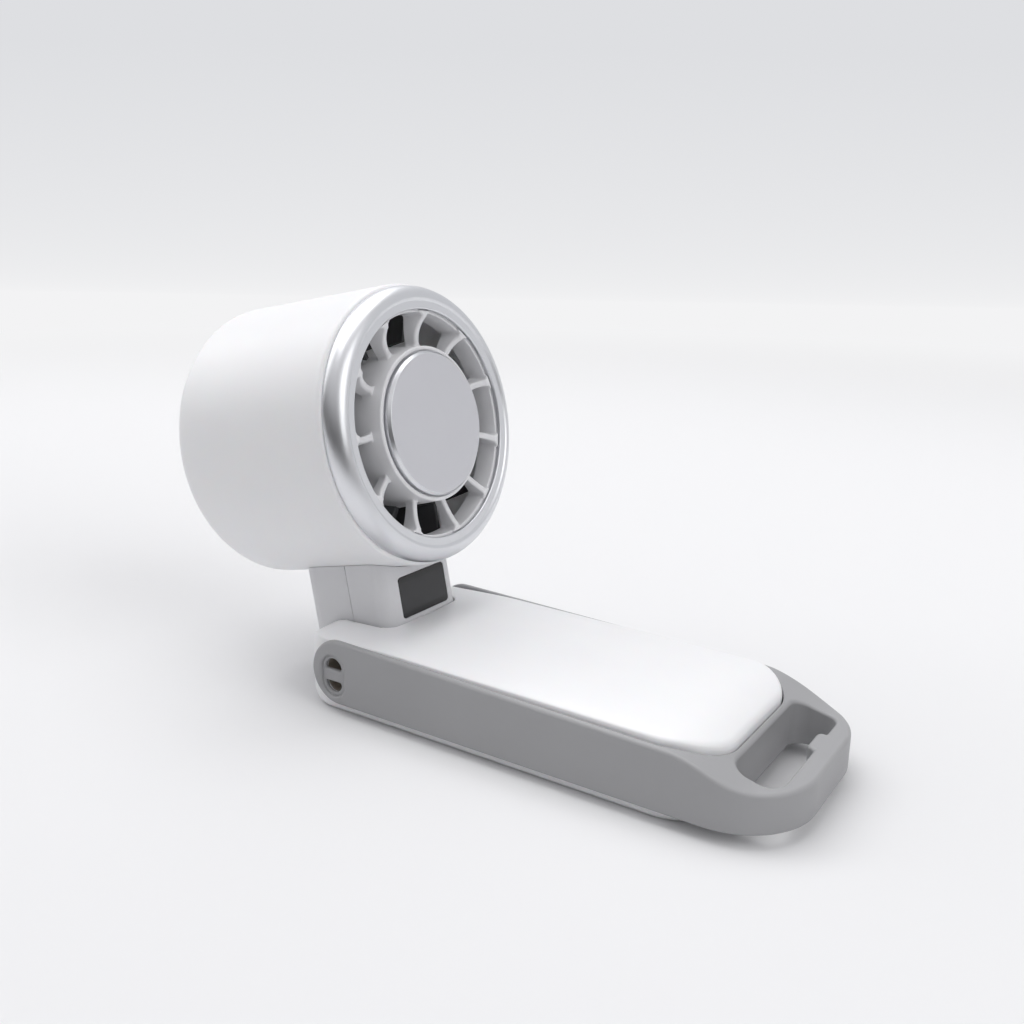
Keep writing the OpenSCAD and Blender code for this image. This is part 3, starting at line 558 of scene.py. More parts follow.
@dataclass(frozen=True)
class MouldedPlastic:
    """A satin finish without metal, mostly injection moulded ABS.

    The spark-eroded mould leaves a fine grain and a faint unevenness of tone.

    Attributes:
        name: The material's name.
        colour: Its sRGB colour.
        shade: The slightly deeper tone of its faint clouds.
        roughness: Mean roughness.
        spread: How far the grain varies the roughness.
        grain_mm: Width of one grain, drawn a little coarser than the real 0.1 mm so that it shows.
        depth_mm: Height of the grain.
        subsurface: How much light wanders inside the plastic.
        pocket: Painted shade for the walls inside the strap lugs' pockets, a darker colour laid where shadow
            falls, or nothing where the plastic has none.
    """

    name: str
    colour: str
    shade: str
    roughness: float = 0.42
    spread: float = 0.06
    grain_mm: float = 0.22
    depth_mm: float = 0.012
    subsurface: float = 0.0
    pocket: str = ""

    def build(self) -> Material:
        """Returns the node material."""
        material, tree, out = new_material(self.name)
        where = add_node(tree, "ShaderNodeTexCoord").outputs["Object"]
        grain = add_node(tree, "ShaderNodeTexNoise", {
            "Vector": where, "Scale": 1 / (self.grain_mm * MM), "Detail": 3.0, "Roughness": 0.6})
        clouds = add_node(tree, "ShaderNodeTexNoise", {
            "Vector": where, "Scale": 1 / (14 * MM), "Detail": 2.0})
        tone = add_node(tree, "ShaderNodeMix", {
            "Factor": clouds.outputs["Fac"], "A": linear(self.colour), "B": linear(self.shade)},
            data_type="RGBA")
        rough = add_node(tree, "ShaderNodeMapRange", {
            "Value": grain.outputs["Fac"], "From Min": 0.25, "From Max": 0.75,
            "To Min": self.roughness - self.spread, "To Max": self.roughness + self.spread})
        bump = add_node(tree, "ShaderNodeBump", {
            "Height": grain.outputs["Fac"], "Distance": self.depth_mm * MM, "Strength": 0.5})
        # Painted shade: the lug pockets' walls take the darker pocket colour in place of the shadow deep
        # inside them
        if self.pocket:
            tone = add_node(tree, "ShaderNodeMix", {
                "Factor": self.painted_pocket_shade_mask(tree, where), "A": tone.outputs["Result"],
                "B": linear(self.pocket)}, data_type="RGBA")
        shader = add_node(tree, "ShaderNodeBsdfPrincipled", {
            "Base Color": tone.outputs["Result"], "Roughness": rough.outputs["Result"],
            "Normal": bump.outputs["Normal"], "Specular IOR Level": 0.5,
            "Subsurface Weight": self.subsurface, "Subsurface Scale": 0.8 * MM, "IOR": 1.53})
        tree.links.new(shader.outputs["BSDF"], out.inputs["Surface"])
        return material

    def painted_pocket_shade_mask(self, tree: Tree, where: Socket) -> Socket:
        """Finds the walls of the strap lugs' pockets, where shade is painted.

        Args:
            tree: The material's tree.
            where: The place on the object.

        Returns:
            A factor of 1 inside the pockets and 0 elsewhere.
        """
        along, height = SIDE_HOLES.lug
        lug = ((LAYOUT.hinge_x + along) * MM, 0, height * MM)
        reach, face = 2.8 * MM, 22.85 * MM
        # The pockets are taller than wide, so heights count for less than places along the handle
        apart = add_node(tree, "ShaderNodeVectorMath", {0: where, 1: lug}, operation="SUBTRACT")
        round_off = add_node(tree, "ShaderNodeVectorMath", {0: apart.outputs["Vector"], 1: (1, 0, 0.6)},
                             operation="MULTIPLY")
        away = add_node(tree, "ShaderNodeVectorMath", {0: round_off.outputs["Vector"]}, operation="LENGTH")
        near = add_node(tree, "ShaderNodeMath", {0: away.outputs["Value"], 1: reach}, operation="LESS_THAN")
        across = add_node(tree, "ShaderNodeSeparateXYZ", {"Vector": where}).outputs["Y"]
        aside = add_node(tree, "ShaderNodeMath", {0: across}, operation="ABSOLUTE")
        inside = add_node(tree, "ShaderNodeMath", {0: aside.outputs["Value"], 1: face}, operation="LESS_THAN")
        return add_node(tree, "ShaderNodeMath", {0: near.outputs["Value"], 1: inside.outputs["Value"]},
                        operation="MULTIPLY").outputs["Value"]


@dataclass(frozen=True)
class FinishedMetal:
    """A metal face: grit or plating grain scatters the reflection, and faint clouds change its roughness.

    Attributes:
        name: The material's name.
        colour: Its sRGB reflection colour.
        roughness: Mean roughness.
        spread: How far the grain varies it.
        grain_mm: Width of one grain.
        depth_mm: Height of the grain.
    """

    name: str
    colour: str
    roughness: float = 0.3
    spread: float = 0.05
    grain_mm: float = 0.2
    depth_mm: float = 0.004

    def build(self) -> Material:
        """Returns the node material."""
        material, tree, out = new_material(self.name)
        where = add_node(tree, "ShaderNodeTexCoord").outputs["Object"]
        scale = 1 / (self.grain_mm * MM)
        grain = add_node(tree, "ShaderNodeTexNoise", {"Vector": where, "Scale": scale, "Detail": 3.0})
        clouds = add_node(tree, "ShaderNodeTexNoise", {"Vector": where, "Scale": scale / 40, "Detail": 2.0})
        mixed = add_node(tree, "ShaderNodeMath", {
            0: grain.outputs["Fac"], 1: clouds.outputs["Fac"], 2: 0.1}, operation="MULTIPLY_ADD")
        rough = add_node(tree, "ShaderNodeMapRange", {
            "Value": mixed.outputs["Value"], "From Min": 0.15, "From Max": 0.55,
            "To Min": self.roughness - self.spread, "To Max": self.roughness + self.spread})
        bump = add_node(tree, "ShaderNodeBump", {
            "Height": grain.outputs["Fac"], "Distance": self.depth_mm * MM, "Strength": 0.5})
        shader = add_node(tree, "ShaderNodeBsdfPrincipled", {
            "Base Color": linear(self.colour), "Metallic": 1.0, "Roughness": rough.outputs["Result"],
            "Normal": bump.outputs["Normal"]})
        tree.links.new(shader.outputs["BSDF"], out.inputs["Surface"])
        return material


@dataclass(frozen=True)
class SmokedWindow:
    """Polished smoked acrylic over a dark display: a deep, glossy black with a greyer active area.

    Attributes:
        name: The material's name.
        border: Colour of the printed border above and below.
        field: Colour of the display behind the window.
        middle: Height of the display's middle on the neck.
        half: Half the height of the greyer area.
        blur: Half the width of that area's soft edge.
    """

    name: str
    border: str
    field: str
    middle: float
    half: float
    blur: float = 0.15

    def build(self) -> Material:
        """Returns the node material."""
        material, tree, out = new_material(self.name)
        where = add_node(tree, "ShaderNodeTexCoord").outputs["Object"]
        lean = math.radians(LAYOUT.lean_deg)
        up = (-math.sin(lean), 0, math.cos(lean))
        height = add_node(tree, "ShaderNodeVectorMath", {0: where, 1: up}, operation="DOT_PRODUCT")
        base = (LAYOUT.hinge_x * up[0] + LAYOUT.hinge_z * up[2] + self.middle) * MM
        off = add_node(tree, "ShaderNodeMath", {0: height.outputs["Value"], 1: base}, operation="SUBTRACT")
        away = add_node(tree, "ShaderNodeMath", {0: off.outputs["Value"]}, operation="ABSOLUTE")
        edge = add_node(tree, "ShaderNodeMapRange", {
            "Value": away.outputs["Value"], "From Min": (self.half - self.blur) * MM,
            "From Max": (self.half + self.blur) * MM})
        tone = add_node(tree, "ShaderNodeMix", {
            "Factor": edge.outputs["Result"], "A": linear(self.field), "B": linear(self.border)},
            data_type="RGBA")
        smudge = add_node(tree, "ShaderNodeTexNoise", {"Vector": where, "Scale": 1 / (3 * MM), "Detail": 4.0})
        rough = add_node(tree, "ShaderNodeMapRange", {
            "Value": smudge.outputs["Fac"], "To Min": 0.10, "To Max": 0.24})
        shader = add_node(tree, "ShaderNodeBsdfPrincipled", {
            "Base Color": tone.outputs["Result"], "Roughness": rough.outputs["Result"], "IOR": 1.49})
        tree.links.new(shader.outputs["BSDF"], out.inputs["Surface"])
        return material


@dataclass(frozen=True)
class StudioPaper:
    """Seamless white paper, lit near the object.

    Far away it glows with its own painted tone instead of being lit, to the camera, to mirroring faces and
    through clear pieces.

    Attributes:
        name: The material's name.
        near: Colour of the paper on the table.
        far: Darker tone of the paper high up behind, painted shade where less lamp light reaches it.
        rise_m: Height at which it has turned fully to that second colour.
        lit: How much of its colour the lit paper keeps, with the rest turned to black.
        lit_m: Distance from the object up to which its light and shadow are seen.
        bright_m: Distance from which it glows with its painted tone.
    """

    name: str
    near: str
    far: str
    rise_m: float = 0.5
    lit: float = 0.95
    lit_m: float = 0.3
    bright_m: float = 1.0

    def build(self) -> Material:
        """Returns the node material."""
        material, tree, out = new_material(self.name)
        where = add_node(tree, "ShaderNodeTexCoord").outputs["Object"]
        height = add_node(tree, "ShaderNodeSeparateXYZ", {"Vector": where}).outputs["Z"]
        # Painted shade: the paper darkens from the near tone to the far tone as it rises
        level = add_node(tree, "ShaderNodeMapRange", {
            "Value": height, "From Min": 0.0, "From Max": self.rise_m})
        rise = add_node(tree, "ShaderNodeMath", {0: level.outputs["Result"], 1: 0.4}, operation="POWER")
        tone = add_node(tree, "ShaderNodeMix", {
            "Factor": rise.outputs["Value"], "A": linear(self.near), "B": linear(self.far)}, data_type="RGBA")
        dimmed = add_node(tree, "ShaderNodeMix", {
            "Factor": 1 - self.lit, "A": tone.outputs["Result"], "B": (0.0, 0.0, 0.0, 1.0)}, data_type="RGBA")
        paper = add_node(tree, "ShaderNodeBsdfDiffuse", {"Color": dimmed.outputs["Result"], "Roughness": 1.0})
        ray = add_node(tree, "ShaderNodeLightPath")
        seen = add_node(tree, "ShaderNodeMath", {
            0: ray.outputs["Is Camera Ray"], 1: ray.outputs["Is Glossy Ray"]}, operation="MAXIMUM")
        seen = add_node(tree, "ShaderNodeMath", {
            0: seen.outputs["Value"], 1: ray.outputs["Is Transmission Ray"]}, operation="MAXIMUM")
        away = add_node(tree, "ShaderNodeVectorMath", {0: where}, operation="LENGTH")
        apart = add_node(tree, "ShaderNodeMapRange", {
            "Value": away.outputs["Value"], "From Min": self.lit_m, "From Max": self.bright_m},
            interpolation_type="SMOOTHSTEP")
        share = add_node(tree, "ShaderNodeMath", {0: seen.outputs["Value"], 1: apart.outputs["Result"]},
                         operation="MULTIPLY")
        # The far paper glows with this tone, painted light in place of lamp light
        glow = add_node(tree, "ShaderNodeEmission", {"Color": tone.outputs["Result"], "Strength": 1.0})
        both = add_node(tree, "ShaderNodeMixShader", {
            "Fac": share.outputs["Value"], 1: paper.outputs["BSDF"], 2: glow.outputs["Emission"]})
        tree.links.new(both.outputs["Shader"], out.inputs["Surface"])
        return material


class Finishes:
    """Every material of the fan, made once."""

    def __init__(self) -> None:
        """Builds the materials."""
        plastic, metal = MouldedPlastic, FinishedMetal
        # Glossier than the greys: the white reads as clean, dense ABS with a soft sheen
        # The white gets painted shade, a brown-grey, on the walls of the lug pockets
        self.white = plastic("white ABS, satin moulded", "#F3F3F4", "#EFEFF1", 0.38,
                             subsurface=0.06, pocket="#AAA197").build()
        # The greys scatter light more, so they read as flat and even
        self.grey = plastic("mid grey ABS, satin moulded", "#A2A2A4", "#9D9D9F", 0.46).build()
        self.light_grey = plastic("light grey ABS, satin moulded", "#DEDEE0", "#D8D8DB", 0.44).build()
        # A smoother mould gives the vanes clearer highlights along their edges
        self.insert = plastic("off-white ABS, semi-gloss moulded", "#ECECEE", "#E8E8EA", 0.34).build()
        # Dull, so that the fan wheel stays a shadow behind the vanes
        self.dark = plastic("dark grey ABS, moulded", "#343537", "#2E2F31", 0.5).build()
        # A smooth lacquer over a coarser weave
        self.board = plastic("green solder mask on glass fibre", "#1F6B3A", "#1A5C31", 0.3,
                             grain_mm=0.5).build()
        # Fired and unglazed, so chalky and without a clear highlight
        self.ceramic = plastic("white sintered alumina", "#EAE8E1", "#E2E0D8", 0.55).build()
        # Slightly creased, so its highlight breaks up
        self.foil = metal("blue-grey laminated foil", "#8FA0B8", 0.38, 0.08, 0.6, 0.02).build()
        # Plating over a finely blasted moulding: broad soft highlights with dark bands between them
        self.chrome = metal("satin chrome plating", "#DCDDE0", 0.34, 0.03, 0.16, 0.004).build()
        # Blasted and anodised: an even silver grey with a fine sparkle
        self.plate = metal("blasted anodised aluminium", "#D6D6DA", 0.55, 0.03, 0.14, 0.02).build()
        # Cut bright, so the chamfer stands out as a line of light
        self.bright = metal("diamond-turned aluminium", "#DCDDE0", 0.3, 0.03, 0.12, 0.001).build()
        # Pressed through a die and left as it is: a soft, slightly patchy grey
        self.sink = metal("extruded aluminium", "#B9BBBE", 0.4, 0.08, 0.3, 0.006).build()
        # Thin plating over rolled steel: bright, with cloudy reflections
        self.steel = metal("bright zinc plated steel", "#B4B6B9", 0.3, 0.08, 0.25, 0.004).build()
        # Lacquered wire: a warm metal shine
        self.copper = metal("enamelled copper wire", "#B0623A", 0.35, 0.1, 0.3, 0.02).build()
        # Porous and soaked with oil: dull, with an uneven sheen
        self.bronze = metal("oiled sintered bronze", "#A8834A", 0.42, 0.1, 0.2, 0.008).build()
        # Nearly a mirror, so the display under it is only just made out
        self.window = SmokedWindow("smoked acrylic, polished", "#08080A", "#232326",
                                   LAYOUT.display_z, 3.4).build()


# Geometry Nodes


class RingArray:
    """A node tree that sets one piece round the Z axis, a given number of times."""

    def __init__(self) -> None:
        """Builds the tree with its named inputs."""
        tree = bpy.data.node_groups.new("ring of pieces", "GeometryNodeTree")
        face = tree.interface
        face.new_socket("Geometry", in_out="OUTPUT", socket_type="NodeSocketGeometry")
        for name, kind in (("Piece", "NodeSocketObject"), ("Count", "NodeSocketInt"),
                           ("Start angle", "NodeSocketFloat"), ("Material", "NodeSocketMaterial")):
            face.new_socket(name, in_out="INPUT", socket_type=kind)
        given = add_node(tree, "NodeGroupInput")
        piece = add_node(tree, "GeometryNodeObjectInfo", {"Object": given.outputs["Piece"]})
        points = add_node(tree, "GeometryNodeMeshLine", {
            "Count": given.outputs["Count"], "Offset": (0, 0, 0)})
        index = add_node(tree, "GeometryNodeInputIndex")
        step = add_node(tree, "ShaderNodeMath", {
            0: FULL_TURN, 1: given.outputs["Count"]}, operation="DIVIDE")
        turn = add_node(tree, "ShaderNodeMath", {
            0: index.outputs["Index"], 1: step.outputs["Value"], 2: given.outputs["Start angle"]},
            operation="MULTIPLY_ADD")
        angles = add_node(tree, "ShaderNodeCombineXYZ", {"Z": turn.outputs["Value"]})
        placed = add_node(tree, "GeometryNodeInstanceOnPoints", {
            "Points": points.outputs["Mesh"], "Instance": piece.outputs["Geometry"],
            "Rotation": angles.outputs["Vector"]})
        real = add_node(tree, "GeometryNodeRealizeInstances", {"Geometry": placed.outputs["Instances"]})
        dressed = add_node(tree, "GeometryNodeSetMaterial", {
            "Geometry": real.outputs["Geometry"], "Material": given.outputs["Material"]})
        add_node(tree, "NodeGroupOutput", {"Geometry": dressed.outputs["Geometry"]})
        self.tree = tree

    def make(self, name: str, piece: Thing, count: int, start_deg: float,
             material: Material) -> Thing:
        """Sets a piece round the Z axis as one plain mesh.

        Args:
            name: The new object's name.
            piece: The piece, which is deleted afterwards.
            count: How many there are.
            start_deg: Where the first one is.
            material: The material set on all of them.

        Returns:
            The new object.
        """
        thing = bpy.data.objects.new(name, bpy.data.meshes.new(name))
        bpy.context.scene.collection.objects.link(thing)
        modifier = thing.modifiers.new("ring", "NODES")
        modifier.node_group = self.tree
        start = math.radians(start_deg)
        values = {"Piece": piece, "Count": count, "Start angle": start, "Material": material}
        for item in self.tree.interface.items_tree:
            if item.in_out == "INPUT":
                modifier[item.identifier] = values[item.name]
        settle(thing)
        bpy.data.objects.remove(piece)
        return thing


@dataclass
class Assembly:
    """A sub-assembly of the fan, which makes its pieces and dresses them.

    Attributes:
        finishes: The materials.
        array: The node tree that sets pieces in a ring.
    """

    finishes: Finishes
    array: RingArray

    def build(self) -> None:
        """Makes and dresses the pieces."""
        raise NotImplementedError


# Handle


@dataclass
class Covers(Assembly):
    """The two white covers of the handle: a crowned top that rolls down to the loop, and a flat foot.

    Attributes:
        half_w: Half the covers' width.
        end_x: Their end at the loop.
        hinge_r: Radius of the round hinge end.
        hinge_corner: Corner radius at the hinge end, seen from above.
        loop_corner: Corner radius at the loop end, seen from above.
        crown_z: Height of the crown's sloping line over the strap lugs, before the hinge end lowers it.
        slope_deg: Slope of that line towards the loop.
        parting_z: Height at which the covers meet.
        lug_x: Where the height of that line is taken.
        neck_front: Front of the neck. The crown has risen fully at 1.6 times this distance.
        crown_drop: How far the crown falls to its sides.
        crown_power: How square the crown's section is.
        roll_r: Radius of the roll down to the loop.
        roll_l: Length of that roll.
        foot_r: Radius of the foot's rounded edge.
        gap: Half the width of the fork that the neck stands in.
        roof_z: Underside of the top cover's roof.
        mouth_y: Distance from the middle at which the holes for buttons and socket start.
        pocket_y: Distance of the lug pockets' floor from the middle.
        cut_r: Radius of the edges cut around the neck.
        bay_x: Start and end of the room inside.
        bay_y: Half the width of that room.
        pin: Radius and half length of the hinge pin's seat.
        washer: Radius of the washers' seats, and distance of their floors from the middle.
        boss_r: Radius of the screw bosses.
        head_seat: Radius of the seats for screw heads, and height of their floors over the table.
        lug_pocket: Radius and height of the pockets behind the strap lugs.
    """

    half_w: float = 23.0
    end_x: float = 94.6
    hinge_r: float = 9.2
    hinge_corner: float = 11.5
    loop_corner: float = 12.0
    crown_z: float = 19.3
    slope_deg: float = 0.7
    parting_z: float = 9.2
    lug_x: float = 6.0
    neck_front: float = 13.9
    crown_drop: float = 2.0
    crown_power: float = 2.6
    roll_r: float = 18.0
    roll_l: float = 10.4
    foot_r: float = 2.0
    gap: float = 13.3
    roof_z: float = 13.87
    mouth_y: float = 20.3
    pocket_y: float = 18.55
    cut_r: float = 0.35
    bay_x: tuple[float, float] = (15.4, 91.7)
    bay_y: float = 21.35
    pin: tuple[float, float] = (2.02, 18.5)
    washer: tuple[float, float] = (6.1, 14.1)
    boss_r: float = 2.8
    head_seat: tuple[float, float] = (2.05, 1.6)
    lug_pocket: tuple[float, float] = (2.45, 8.2)

    def inset(self, x: float, y: float) -> float:
        """Finds how far a point lies inside the covers' outline.

        Args:
            x: Its place along the handle.
            y: Its place across.

        Returns:
            The distance, and zero outside.
        """
        middle = (self.end_x - self.hinge_r) / 2
        radius = self.loop_corner if x > middle else self.hinge_corner
        across = abs(x - middle) - (self.end_x + self.hinge_r) / 2 + radius
        beside = abs(y) - self.half_w + radius
        outside = math.hypot(max(across, 0), max(beside, 0)) + min(max(across, beside), 0) - radius
        return max(-outside, 0.0)

    def crown_line(self, x: float) -> float:
        """Finds the height of the cover's middle line.

        Args:
            x: The place along the handle.

        Returns:
            The height.
        """
        slope = math.tan(math.radians(self.slope_deg))
        top = self.crown_z - (x - self.lug_x) * slope
        if x < 0:
            return self.hinge_r + math.sqrt(max(self.hinge_r ** 2 - x * x, 0.0))
        blend = min(x / (1.6 * self.neck_front), 1.0)
        eased = blend * blend * (3 - 2 * blend)
        top = 2 * self.hinge_r + (top - 2 * self.hinge_r) * (0.35 * blend + 0.65 * eased)
        past = x - (self.end_x - self.roll_l)
        if past > 0:
            top -= self.roll_r - math.sqrt(self.roll_r ** 2 - past * past)
        return top

    def top_height(self, x: float, y: float) -> float:
        """Finds the height of the top cover's outside, whose edge is softer towards the loop.

        Args:
            x: The place along the handle.
            y: The place across.

        Returns:
            The height.
        """
        soft_from, soft_over, sharp, softer, low_rim = 78, 12, 0.35, 0.75, 4
        share = min(abs(y) / self.half_w, 1.0) ** self.crown_power
        z = self.crown_line(x) - self.crown_drop * (1 - (1 - share) ** (1 / self.crown_power))
        near_end = min(max((x - soft_from) / soft_over, 0.0), 1.0)
        radius = (sharp + softer * near_end) * min(max((z - self.parting_z) / low_rim, 0.0), 1.0)
        depth = self.inset(x, y)
        if depth < radius:
            z -= radius - math.sqrt(radius ** 2 - (radius - depth) ** 2)
        return max(z, self.parting_z)

    def foot_height(self, x: float, y: float) -> float:
        """Finds the height of the bottom cover's outside.

        Args:
            x: The place along the handle.
            y: The place across.

        Returns:
            The height.
        """
        z = self.hinge_r - math.sqrt(max(self.hinge_r ** 2 - min(x, 0.0) ** 2, 0.0))
        depth = self.inset(x, y)
        if depth < self.foot_r:
            rise = self.foot_r - math.sqrt(self.foot_r ** 2 - (self.foot_r - depth) ** 2)
            z += rise * (1 - z / self.hinge_r)
        return min(z, self.parting_z)

    def outline(self) -> Outline:
        """Returns the plan outline, with points along its straight sides too."""
        hinge, loop = self.hinge_corner, self.loop_corner
        corners = rounded_box((-self.hinge_r, -self.half_w), (self.end_x, self.half_w),
                              (hinge, loop, loop, hinge), 24)
        points: Outline = []
        for i, here in enumerate(corners):
            there = corners[(i + 1) % len(corners)]
            count = max(1, round(math.dist(here, there) / 1.2))
            for k in range(count):
                points.append((here[0] + (there[0] - here[0]) * k / count,
                               here[1] + (there[1] - here[1]) * k / count))
        return points

    def form(self, name: str, height: Callable[[float, float], float], parting_z: float) -> Thing:
        """Makes one cover's outside form, closed at the parting plane.

        Args:
            name: The object's name.
            height: Gives the outside's height at a point of the plan.
            parting_z: Height of the flat side.

        Returns:
            The solid form.
        """
        outline = self.outline()
        count = len(outline)
        # Close together at the edge, where the form rounds, and wide apart towards the middle line
        steps = [0, .006, .012, .02, .03, .042, .056, .075, .1, .13, .17,
                 .22, .28, .35, .43, .52, .62, .72, .82, .91, 1]
        rings: list[list[tuple[float, float, float]]] = []
        # The edge is bevelled at the parting plane, so that the two covers meet in a fine groove
        lead = 0.15 if height(40, 0) > parting_z else -0.15
        inner = [(x * 0.9975 + 0.1, y * 0.9935) for x, y in outline]
        rings.append([(x, y, parting_z) for x, y in inner])
        low = [height(x, y) for x, y in outline]
        rings.append([(x, y, parting_z + lead if abs(z - parting_z) > 0.15 else z)
                      for (x, y), z in zip(outline, low)])
        for s in steps:
            ring = []
            for x, y in outline:
                spine_x = min(max(x, self.half_w - self.hinge_r), self.end_x - self.half_w)
                px, py = x + (spine_x - x) * s, y * (1 - s)
                ring.append((px, py, height(px, py)))
            rings.append(ring)
        points = [p for ring in rings for p in ring]
        faces = skin(count, len(rings))
        faces.append(tuple(range(count)))
        return new_object(name, points, faces)

    def bay(self, low: float, high: float) -> Thing:
        """Makes the room inside the covers between two heights."""
        start, end = self.bay_x
        return block("bay", (start, -self.bay_y, low), (end, self.bay_y, high))

    def openings(self) -> list[Thing]:
        """Makes the solids cut out of both covers: fork, hinge seats, lug pockets, buttons and socket."""
        gap, holes = self.gap, SIDE_HOLES
        start, end, low, high = holes.socket
        tools = [
            block("fork", (-60, -gap, -5), (9.5, gap, 45)),
            block("throat step", (9, -gap, 12), (13.4, gap, 16.8)),
        ]
        for name, (radius, reach) in (("pin seat", self.pin), ("washer seat", self.washer)):
            tools.append(rod(name, 0, LAYOUT.hinge_z, radius, -reach, reach))
        for x in holes.buttons_x:
            tools.append(rod("button hole", x, holes.button_z, holes.button_r, self.mouth_y, 30))
        tools.append(block("socket hole", (start, self.mouth_y, low), (end, 30, high)))
        plan = rounded_box((3, -gap), (14.2, gap), [4.5] * 4)
        tilt = Matrix.Rotation(math.radians(-LAYOUT.lean_deg), 4, "Y")
        tools.append(move(prism("throat", plan, 3.8, 45), Matrix.Translation((0, 0, LAYOUT.hinge_z)) @ tilt))
        pocket = shift(oval(*self.lug_pocket), *holes.lug)
        for side in (-1, 1):
            ends = sorted((side * self.pocket_y, side * 26))
            tools.append(prism("lug pocket", pocket, *ends, Facing.SIDE))
        return tools

    def build(self) -> None:
        """Makes and dresses both covers."""
        top = self.form("top_cover_shell", self.top_height, self.parting_z)
        join(top, self.bay(5, self.roof_z), Join.CUT)
        bottom = self.form("bottom_cover_shell", self.foot_height, self.parting_z - 0.01)
        join(bottom, self.bay(1.8, 12), Join.CUT)
        # Each cover's bosses: their two ends, then the radius and the end of the bore
        bosses = ((top, self.parting_z, self.roof_z + 0.5, 1.02, 15.2),
                  (bottom, 1.3, self.parting_z - 0.02, 1.15, 12))
        for cover, low, high, bore, depth in bosses:
            for x, y in LAYOUT.cover_screws():
                here = Matrix.Translation((x, y, 0))
                join(cover, move(cylinder("boss", self.boss_r, low, high), here), Join.FUSE)
                join(cover, move(cylinder("screw bore", bore, -1, depth), here), Join.CUT)
                if cover is bottom:
                    head_r, head_z = self.head_seat
                    join(cover, move(cylinder("screw head seat", head_r, -1, head_z), here), Join.CUT)
            for tool in self.openings():
                join(cover, tool, Join.CUT)
        for cover, slot_node in ((top, "top_cover"), (bottom, "bottom_cover")):
            soften(cover, self.edge_radius, self.cut_r, 2, 40, 0.0)
            fit(cover, LAYOUT.handle(), Body.HANDLE, self.finishes.white, "white_plastic", slot_node)

    def edge_radius(self, middle: Vector) -> float:
        """Returns how far a cut edge of the covers is rounded, from the edge's middle."""
        around_neck = middle.x < 15.5 and abs(middle.y) < self.gap + 0.3 and middle.z > 15.5
        return self.cut_r if around_neck else 0.0


